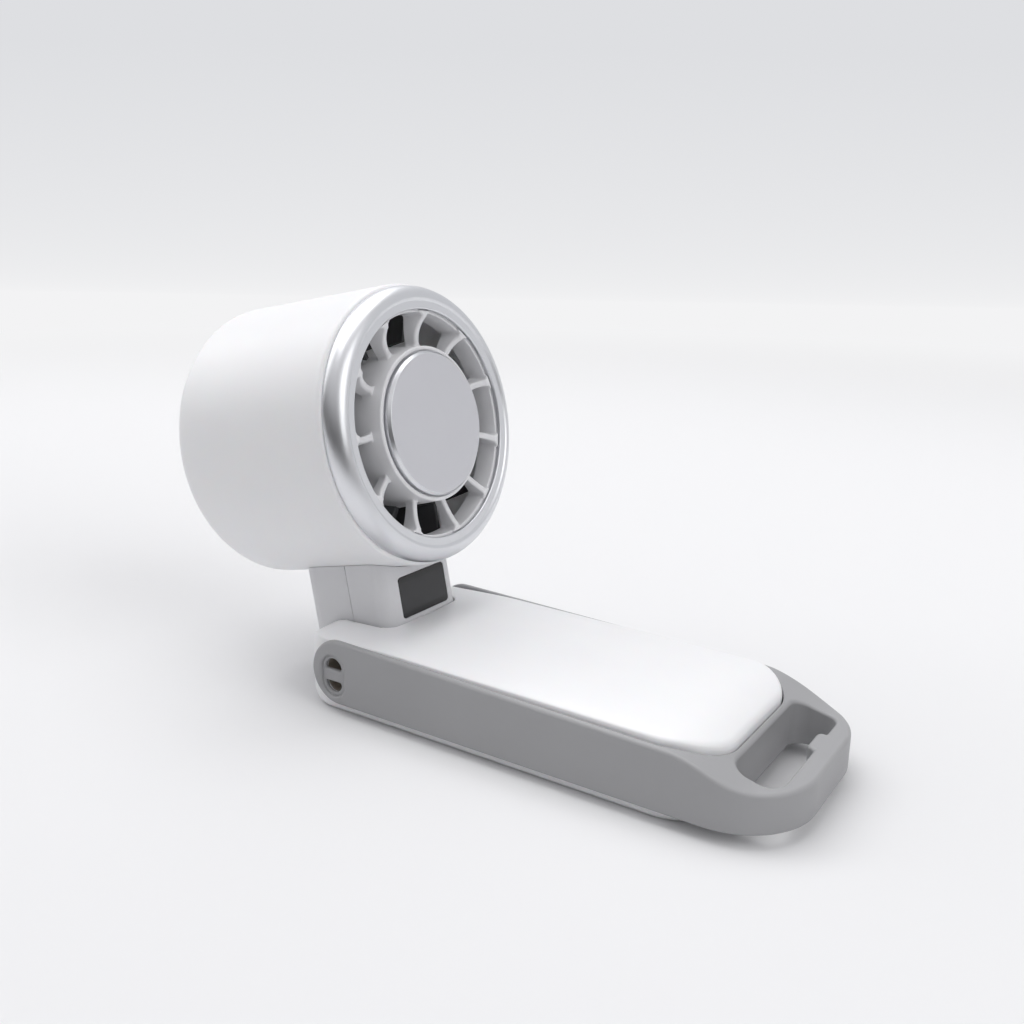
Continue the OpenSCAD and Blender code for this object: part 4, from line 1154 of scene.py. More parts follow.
@dataclass
class SideFrame(Assembly):
    """The grey frame: two arms beside the covers, joined by the strap loop.

    Attributes:
        half_w: Half its width.
        wall: Wall of the arms.
        low_z: Its lower edge over the table.
        height: Height of its round hinge ends.
        slope_deg: Slope of its upper edge.
        loop_z: Height of the loop's top face.
        reach: Outer end of the loop.
        loop_corner: Corner radius of the loop, seen from above.
        bed_end: End of the bed that the covers lie in.
        bed_corner: Corner radius of that bed.
        dip_x: Where the upper edge starts to dip towards the loop.
        dip_l: Length of the dip.
        slot: Near end, far end, half length and corner radius of the loop's slot.
        lug_x: Centre of the round hinge ends.
        top_r: Radius of the rounded upper outside edge.
        low_r: Radius of the rounded lower outside edge.
        bed_r: Radius of the edges along the bed.
    """

    half_w: float = 24.85
    wall: float = 1.6
    low_z: float = 2.9
    height: float = 15.0
    slope_deg: float = 1.5
    loop_z: float = 11.0
    reach: float = 109.7
    loop_corner: float = 16.0
    bed_end: float = 94.8
    bed_corner: float = 12.0
    dip_x: float = 85.5
    dip_l: float = 19.0
    slot: tuple[float, float, float, float] = (96.0, 105.4, 17.9, 3.5)
    lug_x: float = 6.0
    top_r: float = 0.9
    low_r: float = 0.6
    bed_r: float = 0.42

    def top(self, x: float) -> float:
        """Finds the height of the frame's upper face.

        Args:
            x: The place along the handle.

        Returns:
            The height.
        """
        slope = math.tan(math.radians(self.slope_deg))
        if x <= self.dip_x:
            return self.low_z + self.height - (x - self.lug_x) * slope
        start = self.low_z + self.height - (self.dip_x - self.lug_x) * slope
        fall = (1 + math.cos(math.pi * min((x - self.dip_x) / self.dip_l, 1.0))) / 2
        return self.loop_z + (start - self.loop_z) * fall

    def walls(self) -> list[Station]:
        """Returns stations from the near arm to the middle of the loop.

        Returns:
            Each station's point on the outer wall, its inward normal, the point on the bed's wall and its
            normal into the frame.
        """
        stations = []
        inner = self.half_w - self.wall
        arc_x = self.bed_end - self.bed_corner
        for k in range(13):
            x = self.lug_x + (arc_x - self.lug_x) * k / 12
            stations.append((Vector((x, -self.half_w)), Vector((0, 1)), Vector((x, -inner)), Vector((0, -1))))
        bend_x, bend_y = self.reach - self.loop_corner, -self.half_w + self.loop_corner
        straight, bend = bend_x - arc_x, math.pi / 2 * self.loop_corner
        count = 56
        for k in range(1, count + 1):
            share = k / count
            along = share * (straight + bend)
            if along < straight:
                outer, normal = Vector((arc_x + along, -self.half_w)), Vector((0, 1))
            else:
                a = (along - straight) / self.loop_corner
                away = Vector((math.sin(a), -math.cos(a)))
                outer, normal = Vector((bend_x, bend_y)) + away * self.loop_corner, -away
            a = math.pi / 2 * share
            away = Vector((math.sin(a), -math.cos(a)))
            bed = Vector((arc_x, -inner + self.bed_corner)) + away * self.bed_corner
            stations.append((outer, normal, bed, away))
        outer, normal, bed, away = stations[-1]
        for k in range(1, 9):
            share = 1 - k / 8
            stations.append((Vector((outer.x, outer.y * share)), normal,
                             Vector((bed.x, bed.y * share)), away))
        return stations

    def section(self, station: Station) -> list[tuple[float, float, float]]:
        """Returns one station's closed ring of points, with all four edges rounded.

        Args:
            station: Outer point, its normal, bed point and its normal.

        Returns:
            The upper half from the outer wall to the bed, then the lower half back.
        """
        outer, normal, bed, away = station
        turns, across = 6, 18
        points = []
        middle = self.low_z + self.height / 2
        for is_top in (True, False):
            edge = self.top_r if is_top else self.low_r
            half = [(outer, min(middle, self.top(outer.x) - 2 * self.top_r))] if is_top else []
            corner = [(outer + normal * edge * (1 - math.cos(a)), edge * (1 - math.sin(a)))
                      for a in quarter(turns)]
            far_corner = [(bed + away * self.bed_r * (1 - math.cos(a)), self.bed_r * (1 - math.sin(a)))
                          for a in quarter(turns)]
            start, end = corner[-1][0], far_corner[-1][0]
            flat = [(start + (end - start) * k / across, 0.0) for k in range(1, across)]
            for place, drop in corner + flat + far_corner[::-1]:
                half.append((place, self.top(place.x) - drop if is_top else self.low_z + drop))
            if is_top:
                half.append((bed, min(middle, self.top(bed.x) - 2 * self.top_r)))
            points += half if is_top else half[::-1]
        return [(place.x, place.y, min(z, self.top(place.x))) for place, z in points]

    def body(self) -> Thing:
        """Makes the frame without its openings: one half's rings mirrored, and a round end on each arm."""
        half = [self.section(station) for station in self.walls()]
        rings = half + [[(x, -y, z) for x, y, z in ring] for ring in reversed(half[:-1])]
        count = len(rings[0])
        points = [p for ring in rings for p in ring]
        faces = skin(count, len(rings))
        middle = self.low_z + self.height / 2
        upper = count // 2 + 1
        for first in (0, (len(rings) - 1) * count):
            profile = [points[first + k] for k in range(upper)]
            lower = [points[first + (count - k) % count] for k in range(upper)]
            steps = 40
            start = len(points)
            for i in range(steps + 1):
                a = math.pi * i / steps
                for high, low in zip(profile, lower):
                    share = i / steps
                    radius = (high[2] - middle) * (1 - share) + (middle - low[2]) * share
                    y = high[1] * (1 - share) + low[1] * share
                    points.append((self.lug_x - radius * math.sin(a), y, middle + radius * math.cos(a)))
            faces += [(start + i * upper + k, start + i * upper + k + 1, start + (i + 1) * upper + k + 1,
                       start + (i + 1) * upper + k) for i in range(steps) for k in range(upper - 1)]
        return new_object("side_frame_shell", points, faces)

    def slot_tool(self) -> Thing:
        """Makes the solid that cuts the loop's slot with rounded edges, less the nub on its outer wall."""
        x0, x1, half, corner = self.slot
        nub_low, nub_high, reach, tip = 1.6, 9.0, 1.7, 1.2

        def outline(grow: float) -> Outline:
            """Returns the slot's outline, grown all round."""
            return rounded([
                (x0 - grow, -half - grow, corner + grow), (x1 + grow, -half - grow, corner + grow),
                (x1 + grow, nub_low + grow, 0.9 - grow), (x1 - reach + grow, nub_low + grow, tip - grow),
                (x1 - reach + grow, nub_high - grow, tip - grow), (x1 + grow, nub_high - grow, 0.9 - grow),
                (x1 + grow, half + grow, corner + grow), (x0 - grow, half + grow, corner + grow)], 12)

        rim, bevel = 0.7, 0.3
        rings = [[(x, y, z) for x, y in outline(grow)]
                 for z, grow in ((-1.0, bevel), (self.low_z, bevel), (self.low_z + bevel, 0))]
        for a in quarter(6):
            under = rim * (1 - math.sin(a))
            rings.append([(x, y, self.top(x) - under) for x, y in outline(rim * (1 - math.cos(a)))])
        rings.append([(x, y, 40.0) for x, y in outline(rim)])
        return loft("slot", rings)

    def build(self) -> None:
        """Makes and dresses the frame."""
        thing = self.body()
        join(thing, self.slot_tool(), Join.CUT)
        holes, recess_depth, corner = SIDE_HOLES, 0.8, 1.2
        start, end, low, high = holes.socket
        for side in (-1, 1):
            recess = mouth("lug recess", lambda grow: shift(oval(3.3 + grow, 9.6 + 2 * grow), 4.5, 9.3),
                           side, self.half_w, recess_depth, 0.7)
            join(thing, recess, Join.CUT)
            for up in (1, -1):
                hole = mouth("lug hole", lambda grow: shift(self.half_hole(grow, up), *holes.lug),
                             side, self.half_w - recess_depth, 3.0, 0.4)
                join(thing, hole, Join.CUT)
        for x in holes.buttons_x:
            # A hair higher than round, which keeps the end points of the outline's two halves apart
            hole = mouth("button hole", lambda grow: shift(
                oval(holes.button_r + grow, 2 * holes.button_r + 0.001 + 2 * grow), x, holes.button_z),
                1, self.half_w, 5.0, 0.2)
            join(thing, hole, Join.CUT)
        socket = mouth("socket hole", lambda grow: rounded_box(
            (start - grow, low - grow), (end + grow, high + grow), [corner] * 4), 1, self.half_w, 5.0, 0.2)
        join(thing, socket, Join.CUT)
        smooth(thing, 34)
        fit(thing, LAYOUT.handle(), Body.HANDLE, self.finishes.grey, "grey_plastic", "side_frame")

    def half_hole(self, grow: float, up: int) -> Outline:
        """Returns one D-shaped opening of a strap lug beside its bar, grown all round.

        Args:
            grow: How far it is grown.
            up: 1 for the opening over the bar and -1 for the one under it.

        Returns:
            The outline about the middle of the bar.
        """
        bar, radius, rise, corner = 1.45, 2.35, 1.65, 0.55
        level = bar + corner
        aside = math.sqrt((radius - corner) ** 2 - (level - rise) ** 2)
        tilt = math.atan2(level - rise, aside)
        arcs = ((aside, level, corner + grow, -math.pi / 2, tilt, 8),
                (0.0, rise, radius + grow, tilt, math.pi - tilt, 24),
                (-aside, level, corner + grow, math.pi - tilt, 1.5 * math.pi, 8))
        points: Outline = []
        for x, z, reach, first, last, steps in arcs:
            for k in range(steps + 1):
                a = first + (last - first) * k / steps
                points.append((x + reach * math.cos(a), up * (z + reach * math.sin(a))))
        return points


@dataclass
class Buttons(Assembly):
    """The two push buttons on the far side, dished for a finger.

    Attributes:
        rim_r: Radius of the caps' edges.
        rim_y: Distance from the middle beyond which edges are rounded.
    """

    rim_r: float = 0.3
    rim_y: float = 25.0

    def build(self) -> None:
        """Makes and dresses both buttons."""
        for node, body in (("power_button", Body.POWER_KEY), ("speed_button", Body.SPEED_KEY)):
            thing = node_copy(node, f"{node}_cap", LAYOUT.handle())
            soften(thing, lambda middle: self.rim_r if middle.y > self.rim_y else 0.0, self.rim_r, 3, 30)
            fit(thing, LAYOUT.handle(), body, self.finishes.white, "white_plastic", node)


# Head


@dataclass
class Neck(Assembly):
    """The two neck halves with the display window.

    Attributes:
        front: Its front face from the hinge axis.
        display: Width, height and corner radius of the window.
        thick: Thickness of the window.
    """

    front: float = 13.9
    display: tuple[float, float, float] = (16.9, 9.6, 1.0)
    thick: float = 1.15

    def build(self) -> None:
        """Makes and dresses the neck and its window."""
        for node in ("neck_front_half", "neck_rear_half"):
            thing = node_copy(node, f"{node}_shell", LAYOUT.head())
            soften(thing, self.edge_radius, 0.3, 2, 35)
            fit(thing, LAYOUT.head(), Body.HEAD, self.finishes.light_grey, "light_grey_plastic", node)
        width, height, corner = self.display
        plan = rounded_box((-width / 2, -height / 2), (width / 2, height / 2), [corner] * 4, 10)
        window = prism("display_cover", plan, 0, self.thick)
        # The outline is drawn lying down, with its first axis across the neck, and then stood up
        stand = Matrix(((0, 0, 1, self.front - self.thick), (1, 0, 0, 0), (0, 1, 0, LAYOUT.display_z),
                        (0, 0, 0, 1)))
        move(window, stand)
        soften(window, lambda m: 0.12 if m.x > self.front - 0.05 else 0.0, 0.12, 2, 40)
        fit(window, LAYOUT.head(), Body.HEAD, self.finishes.window, "dark_window", "display_window")

    def edge_radius(self, middle: Vector) -> float:
        """Finds how far an edge of the neck is rounded: a little at the window and at the seam.

        Args:
            middle: The edge's middle.

        Returns:
            The radius.
        """
        seam_x, near, window_reach, side_y = 2.5, 0.05, 9.2, 12
        at_window = middle.x > self.front - near and abs(middle.y) < window_reach
        at_seam = abs(middle.x - seam_x) < near and abs(middle.y) > side_y
        return 0.15 if at_window or at_seam else 0.0


@dataclass
class Drum(Assembly):
    """The white drum, the intake behind it and the chrome ring in front.

    Attributes:
        front_r: Outer radius at the front edge.
        back_r: Outer radius at the rear.
        front: Front edge from the hinge axis.
        back: Rear face behind the hinge axis.
        wall: Wall of the drum.
        edge_r: Radius of the rounded rear edge.
        intake_r: Radius of the intake in the rear.
        bead_r: Radius of the chrome ring's bead.
        bead_at: Radius of the bead's middle, and how far it is in front of the drum's edge.
        lip: Inner radius, rear face and front face of the ring's flat lip.
        ring_in: Inner radius of the ring behind its lip.
    """

    front_r: float = 31.8
    back_r: float = 32.6
    front: float = 21.0
    back: float = -24.2
    wall: float = 2.0
    edge_r: float = 3.0
    intake_r: float = 24.0
    bead_r: float = 3.55
    bead_at: tuple[float, float] = (27.6, 0.9)
    lip: tuple[float, float, float] = (25.55, 24.0, 25.05)
    ring_in: float = 26.5

    def shell(self) -> None:
        """Makes the drum's shell with the square tube that the neck closes around."""
        w = self.wall
        profile = rounded([
            (self.intake_r + 0.1, self.back, 0.3), (self.back_r, self.back, self.edge_r),
            (self.front_r, self.front, 1.0), (self.front_r - w, self.front, 0.2),
            (self.back_r - w, self.back + w, 1.0), (self.intake_r + 0.1, self.back + w, 0.2)], 10)
        thing = lathe("drum_shell_body", profile, 256)
        back, front, half, wall = -6.5, 8.5, 6.25, 1.6
        tube = block("tube", (back, -half, 13.4), (front, half, 22))
        bore = block("tube bore", (back + wall, wall - half, 10), (front - wall, half - wall, 30))
        join(tube, bore, Join.CUT)
        move(tube, Matrix.Rotation(-math.pi / 2, 4, "Y") @ Matrix.Translation((0, 0, -LAYOUT.axis_h)))
        ball = lathe("drum room", [(0, -30), (30.6, -23), (30.3, 20), (0, 20)], 96)
        join(tube, ball, Join.CUT)
        join(thing, tube, Join.FUSE)
        smooth(thing, 30)
        fit(thing, LAYOUT.fan(), Body.HEAD, self.finishes.white, "white_plastic", "drum_shell")

    def ring(self) -> None:
        """Makes the chrome ring: a round bead outside and a narrow flat lip inside a fine step."""
        (middle_r, ahead), (lip_r, lip_back, lip_front) = self.bead_at, self.lip
        profile: Outline = []
        low = math.asin(-ahead / self.bead_r)
        for k in range(41):
            a = low + (math.radians(84) - low) * k / 40
            profile.append((middle_r + self.bead_r * math.cos(a),
                            self.front + ahead + self.bead_r * math.sin(a)))
        # The fine step between the bead and the lip
        profile += [(27.62, lip_front + 0.2), (27.45, lip_front + 0.06)]
        profile += rounded([(27.3, lip_front, 0), (lip_r, lip_front, 0.35), (lip_r, lip_back, 0.15),
                            (self.ring_in, lip_back, 0), (self.ring_in, self.front, 0)], 6)
        thing = lathe("front_ring", profile, 256)
        smooth(thing, 40)
        fit(thing, LAYOUT.fan(), Body.HEAD, self.finishes.chrome, "satin_chrome", "chrome_ring")

    def intake(self) -> None:
        """Makes the rear grille: four rings, twelve ribs and a rim, rounded on the outside."""
        bar, thick, pitch, soft, flange_r = 1.2, 1.7, self.intake_r / 4.6, 0.35, 27
        seat, inside, inner_face = self.back + self.wall, self.back + 3.2, self.back + thick
        edges = (soft, soft, 0.15, 0.15)
        rim = lathe("intake_grille", rounded([
            (self.intake_r - bar, self.back, soft), (self.intake_r, self.back, 0.2), (self.intake_r, seat, 0),
            (flange_r, seat, 0.2), (flange_r, inside, 0.2), (self.intake_r - bar, inside, 0.2)], 5), 160)
        for i in range(1, 5):
            outer = i * pitch
            hoop = lathe("hoop", rounded_box((outer - bar, self.back), (outer, inner_face), edges, 5), 128)
            join(rim, hoop, Join.FUSE)
        section = rounded_box((-bar / 2, self.back), (bar / 2, inner_face), edges, 5)
        rib = prism("rib", section, pitch - bar / 2, self.intake_r - bar / 2, Facing.END)
        ribs = self.array.make("ribs", rib, 12, 0, self.finishes.insert)
        join(rim, ribs, Join.FUSE)
        rim.data.materials.clear()
        smooth(rim, 30)
        fit(rim, LAYOUT.fan(), Body.HEAD, self.finishes.insert, "insert_plastic", "rear_grille")

    def build(self) -> None:
        """Makes and dresses the drum."""
        self.shell()
        self.ring()
        self.intake()


@dataclass
class GuideInsert(Assembly):
    """The off-white insert: a sleeve, the hub cup that holds the cold plate, and the vanes between them.

    Attributes:
        sleeve_r: Outer radius of the sleeve.
        sleeve_in: Inner radius of the sleeve.
        sleeve_front: Front edge of the sleeve, under the chrome lip.
        sleeve_back: Its rear edge.
        front: The face that the hub's rim lies just under.
        back: Rear face of the hub.
        hub_front_r: Radius of the hub at its front rim.
        hub_back_r: Radius of the hub at its floor.
        vane_count: How many vanes there are.
        vane_t: Thickness of a vane between its roots.
        vane_turn: Where the first vane is, in degrees.
        vane_lean: Lean of the vanes, in degrees.
        vane_front: The vanes' foremost point.
        vane_l: Their length along the air path.
        root_r: Radius of the hollow where a vane meets a wall.
        scoop_r: Radius of the hollow front edge.
        scoop: Depth of that hollow.
        scoop_out: Distance of its middle from the hub's rim.
        bow: How far a vane bows to the side.
    """

    sleeve_r: float = 26.4
    sleeve_in: float = 25.0
    sleeve_front: float = 23.9
    sleeve_back: float = 18.6
    front: float = 25.0
    back: float = 12.0
    hub_front_r: float = 17.4
    hub_back_r: float = 18.6
    vane_count: int = 11
    vane_t: float = 1.5
    vane_turn: float = 8.5
    vane_lean: float = 10.0
    vane_front: float = 24.5
    vane_l: float = 5.0
    root_r: float = 1.0
    scoop_r: float = 9.0
    scoop: float = 2.4
    scoop_out: float = 0.6
    bow: float = 0.35

    def front_edge(self, r: float) -> float:
        """Finds where a vane's scooped front edge lies.

        Args:
            r: The radius.

        Returns:
            Its place along the fan axis.
        """
        off = r - self.hub_front_r - self.scoop_out
        dip = math.sqrt(max(self.scoop_r ** 2 - off * off, 0.0))
        return min(self.vane_front, self.vane_front + self.scoop_r - self.scoop - dip)

    def half_t(self, r: float) -> float:
        """Finds half a vane's thickness, flared where it meets the hub and the sleeve.

        Args:
            r: The radius.

        Returns:
            Half the thickness.
        """
        half = self.vane_t / 2
        for gap in (r - self.hub_front_r - 0.15, self.sleeve_in - r):
            near = max(gap, 0.0)
            if near < self.root_r:
                half += self.root_r - math.sqrt(self.root_r ** 2 - (self.root_r - near) ** 2)
        return half

    def vane(self) -> Thing:
        """Makes one vane along X, with a round front edge and flared roots."""
        # The ends reach a little into the hub and the sleeve, so that the solids join
        r0, r1, across, deep, nose, soft = 16.95, 25.25, 36, 10, 6, 0.5
        lean = math.tan(math.radians(self.vane_lean))
        back, middle = self.vane_front - self.vane_l, self.vane_front - self.vane_l / 2
        passage = self.sleeve_in - self.hub_front_r
        sections = []
        for i in range(across + 1):
            r = r0 + (r1 - r0) * i / across
            half, tip = self.half_t(r), self.front_edge(r)
            sway = self.bow * math.sin(math.pi * (r - self.hub_front_r) / passage)
            ring = []
            for k in range(deep):
                ring.append((half, back + (tip - soft - back) * k / deep))
            for a in quarter(nose):
                ring.append((half - soft + soft * math.cos(a), tip - soft + soft * math.sin(a)))
            ring += [(-t, z) for t, z in reversed(ring)]
            sections.append([(r, t + sway - (z - middle) * lean, z) for t, z in ring])
        return loft("vane", sections)

    def build(self) -> None:
        """Makes and dresses the insert."""
        flange_r, flange_back, flange_front = 29.7, 19.4, 21
        sleeve = rounded([
            (self.sleeve_in, self.sleeve_back, 0.2), (self.sleeve_r, self.sleeve_back, 0.2),
            (self.sleeve_r, flange_back, 0), (flange_r, flange_back, 0.1), (flange_r, flange_front, 0.1),
            (self.sleeve_r, flange_front, 0), (self.sleeve_r, self.sleeve_front, 0.1),
            (self.sleeve_in, self.sleeve_front, 0.25)], 6)
        thing = lathe("guide_insert", sleeve, 256)
        shaft_r, seat_r, well_r, seat, floor, rim = 2.2, 16.5, 14.6, 24.1, 14, self.front - 0.2
        hub = rounded([
            (shaft_r, self.back, 0), (self.hub_back_r, self.back, 0.3), (self.hub_front_r, rim, 0.45),
            (seat_r, rim, 0.25), (seat_r, seat, 0), (well_r, seat, 0), (well_r, floor, 0),
            (shaft_r, floor, 0)], 6)
        join(thing, lathe("hub", hub, 256), Join.FUSE)
        vanes = self.array.make("vanes", self.vane(), self.vane_count, self.vane_turn, self.finishes.insert)
        join(thing, vanes, Join.FUSE)
        thing.data.materials.clear()
        smooth(thing, 38)
        fit(thing, LAYOUT.fan(), Body.HEAD, self.finishes.insert, "insert_plastic", "guide_vanes")


@dataclass
class ColdPlate(Assembly):
    """The round cold plate with its bright turned chamfer.

    Attributes:
        radius: Outer radius.
        front: Front face.
        thick: Thickness.
        chamfer: Width of the chamfer.
    """

    radius: float = 16.2
    front: float = 26.1
    thick: float = 2.0
    chamfer: float = 0.6

    def build(self) -> None:
        """Makes and dresses the plate."""
        c, back = self.chamfer, self.front - self.thick
        profile = rounded([(0, back, 0), (self.radius, back, 0.1), (self.radius, self.front - c, 0.15),
                           (self.radius - c, self.front, 0.15), (0, self.front, 0)], 4)
        thing = lathe("cold_plate_disc", profile, 256)
        thing.data.materials.append(self.finishes.plate)
        thing.data.materials.append(self.finishes.bright)
        for face in thing.data.polygons:
            away = math.hypot(face.center.x, face.center.y)
            if away > self.radius - c - 0.05 and face.center.z > back + 0.2:
                face.material_index = 1
        smooth(thing, 28)
        fit(thing, LAYOUT.fan(), Body.HEAD, self.finishes.plate, "plate_aluminium", "cold_plate")


@dataclass
class Screws(Assembly):
    """Pan head screws with a hexagon socket, under the handle and in the back of the neck.

    Attributes:
        shank_r: Outer radius of the thread.
        head_r: Radius of the head.
        head_t: Thickness of the head.
        pitch: Pitch of the thread.
        thread_h: Height of the thread.
        cover_l: Length of the cover screws.
        neck_l: Length of the neck screws.
        neck_y: Distance of the neck screws from the middle.
        neck_z: Their height over the hinge axis.
    """

    shank_r: float = 1.0
    head_r: float = 1.9
    head_t: float = 1.2
    pitch: float = 0.7
    thread_h: float = 0.14
    cover_l: float = 12.0
    neck_l: float = 17.0
    neck_y: float = 8.9
    neck_z: float = 15.2

    def screw(self, length: float) -> Thing:
        """Makes one screw with its head's underside at Z 0 and its thread up.

        Args:
            length: Length of the thread.

        Returns:
            The screw.
        """
        crests = []
        root = self.shank_r - self.thread_h
        for k in range(int(length / self.pitch)):
            z = 0.5 + self.pitch * k
            crests += [(root, z), (self.shank_r, z + 0.3)]
        head = rounded([(0, -self.head_t, 0), (self.head_r, -self.head_t, 0.5),
                        (self.head_r, 0, 0.08), (root, 0, 0)], 5)
        profile = head + [p for p in crests if p[1] < length - 0.3] + [(0.5, length), (0.0, length)]
        thing = lathe("screw", profile, 40)
        join(thing, prism("socket", circle(0.9, 6), -self.head_t - 1, -0.5), Join.CUT)
        return thing

    def build(self) -> None:
        """Makes and dresses the six screws."""
        for i, (x, y) in enumerate(LAYOUT.cover_screws(), start=1):
            thing = move(self.screw(self.cover_l), Matrix.Translation((x, y, 1.6)))
            thing.name = f"cover_screw_{i}_turned"
            smooth(thing, 30)
            fit(thing, LAYOUT.handle(), Body.HANDLE, self.finishes.steel, "steel", f"cover_screw_{i}")
        for i, y in ((1, -self.neck_y), (2, self.neck_y)):
            seat = Matrix.Translation((-12 + self.head_t + 0.9, y, self.neck_z))
            thing = move(self.screw(self.neck_l), seat @ Matrix.Rotation(math.pi / 2, 4, "Y"))
            thing.name = f"neck_screw_{i}_turned"
            smooth(thing, 30)
            fit(thing, LAYOUT.head(), Body.HEAD, self.finishes.steel, "steel", f"neck_screw_{i}")


class FanWheel(Assembly):
    """The dark fan wheel that shows between the vanes."""

    def build(self) -> None:
        """Makes and dresses the wheel."""
        thing = node_copy("impeller", "fan_blades", LAYOUT.fan())
        soften(thing, lambda middle: 0.2 if math.hypot(middle.x, middle.y) > 17.2 else 0.0, 0.2, 2, 50)
        fit(thing, LAYOUT.fan(), Body.FAN_WHEEL, self.finishes.dark, "dark_plastic", "impeller")


class Interior(Assembly):
    """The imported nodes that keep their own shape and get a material."""

    def build(self) -> None:
        """Dresses the nodes inside the handle and the head."""
        looks = self.finishes
        plan = (
            (looks.foil, ("battery_cell",)),
            (looks.board, ("main_board", "button_board", "display_board")),
            (looks.window, ("display_panel",)),
            (looks.ceramic, ("peltier_module",)),
            (looks.sink, ("heat_sink", "motor_base")),
            (looks.copper, ("motor_stator",)),
            (looks.bronze, ("bearing_front", "bearing_rear")),
            (looks.steel, ("usb_socket", "hinge_pin", "hinge_washer_near", "hinge_washer_far",
                           "rotor_bell", "motor_shaft")),
        )
        for material, nodes in plan:
            for node in nodes:
                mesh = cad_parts[node].data
                mesh.materials.clear()
                mesh.materials.append(material)
                log.info("%s: dressed as %s", node, material.name)


# Studio


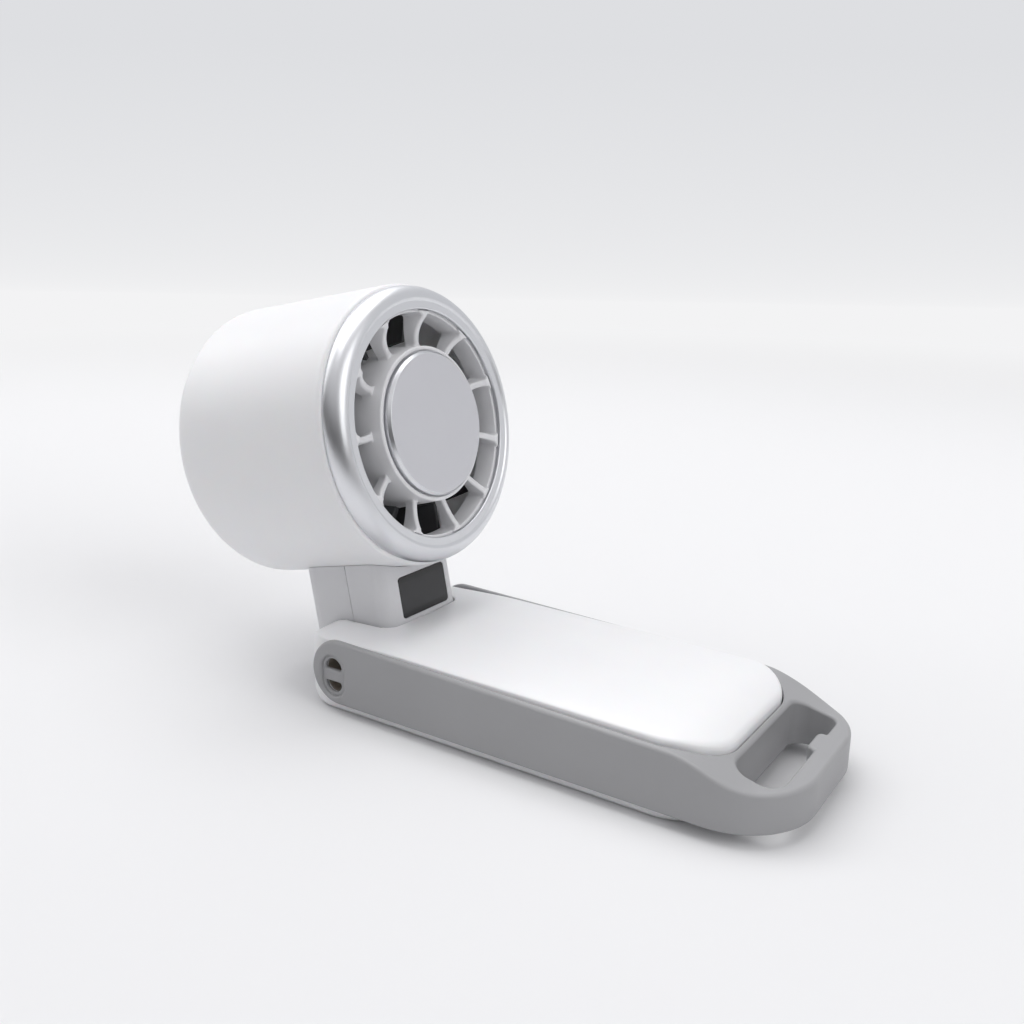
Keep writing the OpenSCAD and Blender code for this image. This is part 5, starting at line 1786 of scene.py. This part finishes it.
@dataclass
class Studio:
    """Paper sweep, soft lamps and the camera of the picture.

    Attributes:
        eye: The camera's place, in metres.
        yaw_deg: Its turn from +Y.
        pitch_deg: Its tilt.
        roll_deg: Its roll.
        lens: Focal length for a sensor 36 mm wide.
    """

    eye: tuple[float, float, float] = (0.11169, -0.18468, 0.10635)
    yaw_deg: float = -33.316
    pitch_deg: float = -14.982
    roll_deg: float = 1.008
    lens: float = 36.914

    def axes(self) -> tuple[Vector, Vector, Vector]:
        """Returns the camera's right, up and forward directions."""
        yaw, pitch, roll = (math.radians(v) for v in (self.yaw_deg, self.pitch_deg, self.roll_deg))
        right = Vector((math.cos(yaw), -math.sin(yaw), 0))
        ahead = Vector((math.sin(yaw) * math.cos(pitch), math.cos(yaw) * math.cos(pitch), math.sin(pitch)))
        up = right.cross(ahead)
        tilted = right * math.cos(roll) + up * math.sin(roll)
        return tilted, up * math.cos(roll) - right * math.sin(roll), ahead

    def camera(self) -> None:
        """Makes the camera and sets it."""
        data = bpy.data.cameras.new("camera")
        data.sensor_width = 36
        data.lens = self.lens
        data.clip_start = 0.01
        data.clip_end = 50
        thing = bpy.data.objects.new("camera", data)
        right, up, ahead = self.axes()
        place = Matrix((right, up, -ahead)).transposed().to_4x4()
        place.translation = self.eye
        thing.matrix_world = place
        bpy.context.scene.collection.objects.link(thing)
        bpy.context.scene.camera = thing

    def lamp(self, name: str, place: Sequence[float], target: Sequence[float], size: tuple[float, float],
             watts: float) -> None:
        """Adds one soft lamp.

        Args:
            name: The lamp's name.
            place: Where it is, in metres.
            target: What it points at.
            size: Its width and height.
            watts: Its power.
        """
        data = bpy.data.lights.new(name, "AREA")
        data.shape = "RECTANGLE"
        data.size, data.size_y = size
        data.energy = watts
        thing = bpy.data.objects.new(name, data)
        ahead = Vector(target) - Vector(place)
        thing.matrix_world = Matrix.Translation(place) @ ahead.to_track_quat("-Z", "Y").to_matrix().to_4x4()
        bpy.context.scene.collection.objects.link(thing)

    def world(self) -> None:
        """Makes the room: bright overhead, darker round the horizon, so that metal shows dark bands."""
        world = bpy.data.worlds.new("studio")
        world.use_nodes = True
        tree = world.node_tree
        tree.nodes.clear()
        where = add_node(tree, "ShaderNodeTexCoord").outputs["Generated"]
        height = add_node(tree, "ShaderNodeSeparateXYZ", {"Vector": where}).outputs["Z"]
        rise = add_node(tree, "ShaderNodeMapRange", {
            "Value": height, "From Min": 0.1, "From Max": 0.7, "To Min": 0.08, "To Max": 0.7},
            interpolation_type="SMOOTHSTEP")
        sky = add_node(tree, "ShaderNodeBackground", {
            "Color": linear("#FAFAFC"), "Strength": rise.outputs["Result"]})
        out = add_node(tree, "ShaderNodeOutputWorld")
        tree.links.new(sky.outputs["Background"], out.inputs["Surface"])
        bpy.context.scene.world = world

    def paper(self) -> None:
        """Makes the paper sweep: the table and the rise behind it."""
        ahead = self.axes()[2]
        flat = Vector((ahead.x, ahead.y, 0)).normalized()
        beside = Vector((flat.y, -flat.x, 0))
        bend, start = 0.9, 1.5
        line = [(-0.25, 0.0)]
        line += [(start + bend * math.sin(a), bend * (1 - math.cos(a))) for a in quarter(24)]
        line.append((start + bend, 4.0))
        # The sheet lies a hair under the fan, so that the two never share a plane
        below = 0.00005
        points = []
        for along, z in line:
            for reach in (-4.0, 4.0):
                points.append(flat * along + beside * reach + Vector((0, 0, z - below)))
        faces = [(2 * k, 2 * k + 1, 2 * k + 3, 2 * k + 2) for k in range(len(line) - 1)]
        paper = StudioPaper("white studio paper", "#F3F3F4", "#DEDFE2").build()
        self.sheet("paper_sweep", points, faces, paper)
        # A white card outside the picture, to the right, for the metal faces to mirror
        out = (flat * 0.31 + beside * 0.95) * 1.3
        across = Vector((out.y, -out.x, 0)).normalized() * 0.8
        tall = Vector((0, 0, 1.2))
        card = [out - across, out + across, out + across + tall, out - across + tall]
        self.sheet("white_card", card, [(0, 1, 2, 3)], paper)

    def sheet(self, name: str, points: Sequence[Vector], faces: Sequence[Sequence[int]],
              paper: Material) -> None:
        """Adds one sheet of paper to the studio.

        Args:
            name: The sheet's name.
            points: Its points, in metres.
            faces: Point numbers of each face.
            paper: Its material.
        """
        mesh = bpy.data.meshes.new(name)
        mesh.from_pydata([tuple(p) for p in points], [], faces)
        mesh.shade_smooth()
        mesh.materials.append(paper)
        thing = bpy.data.objects.new(name, mesh)
        bpy.context.scene.collection.objects.link(thing)

    def build(self) -> None:
        """Makes the whole studio."""
        self.camera()
        self.world()
        self.paper()
        self.lamp("overhead softbox", (-0.25, 0.1, 0.9), (0, 0, 0.03), (0.9, 0.9), 5.6)
        self.lamp("left softbox", (-0.9, -0.2, 0.6), (0, 0, 0.04), (0.7, 0.7), 2.0)
        self.lamp("right softbox", (0.8, -0.1, 0.5), (0, 0, 0.04), (0.6, 0.7), 2.0)
        bpy.context.scene.view_settings.view_transform = "Standard"


def main() -> None:
    """Builds the fan's pieces and the studio."""
    logging.basicConfig(level=logging.INFO, format="%(message)s")
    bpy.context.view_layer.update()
    Studio().build()
    finishes, array = Finishes(), RingArray()
    for assembly in (Covers, SideFrame, Buttons, Neck, Drum, GuideInsert, ColdPlate, Screws, FanWheel,
                     Interior):
        assembly(finishes, array).build()


if __name__ == "__main__":
    main()
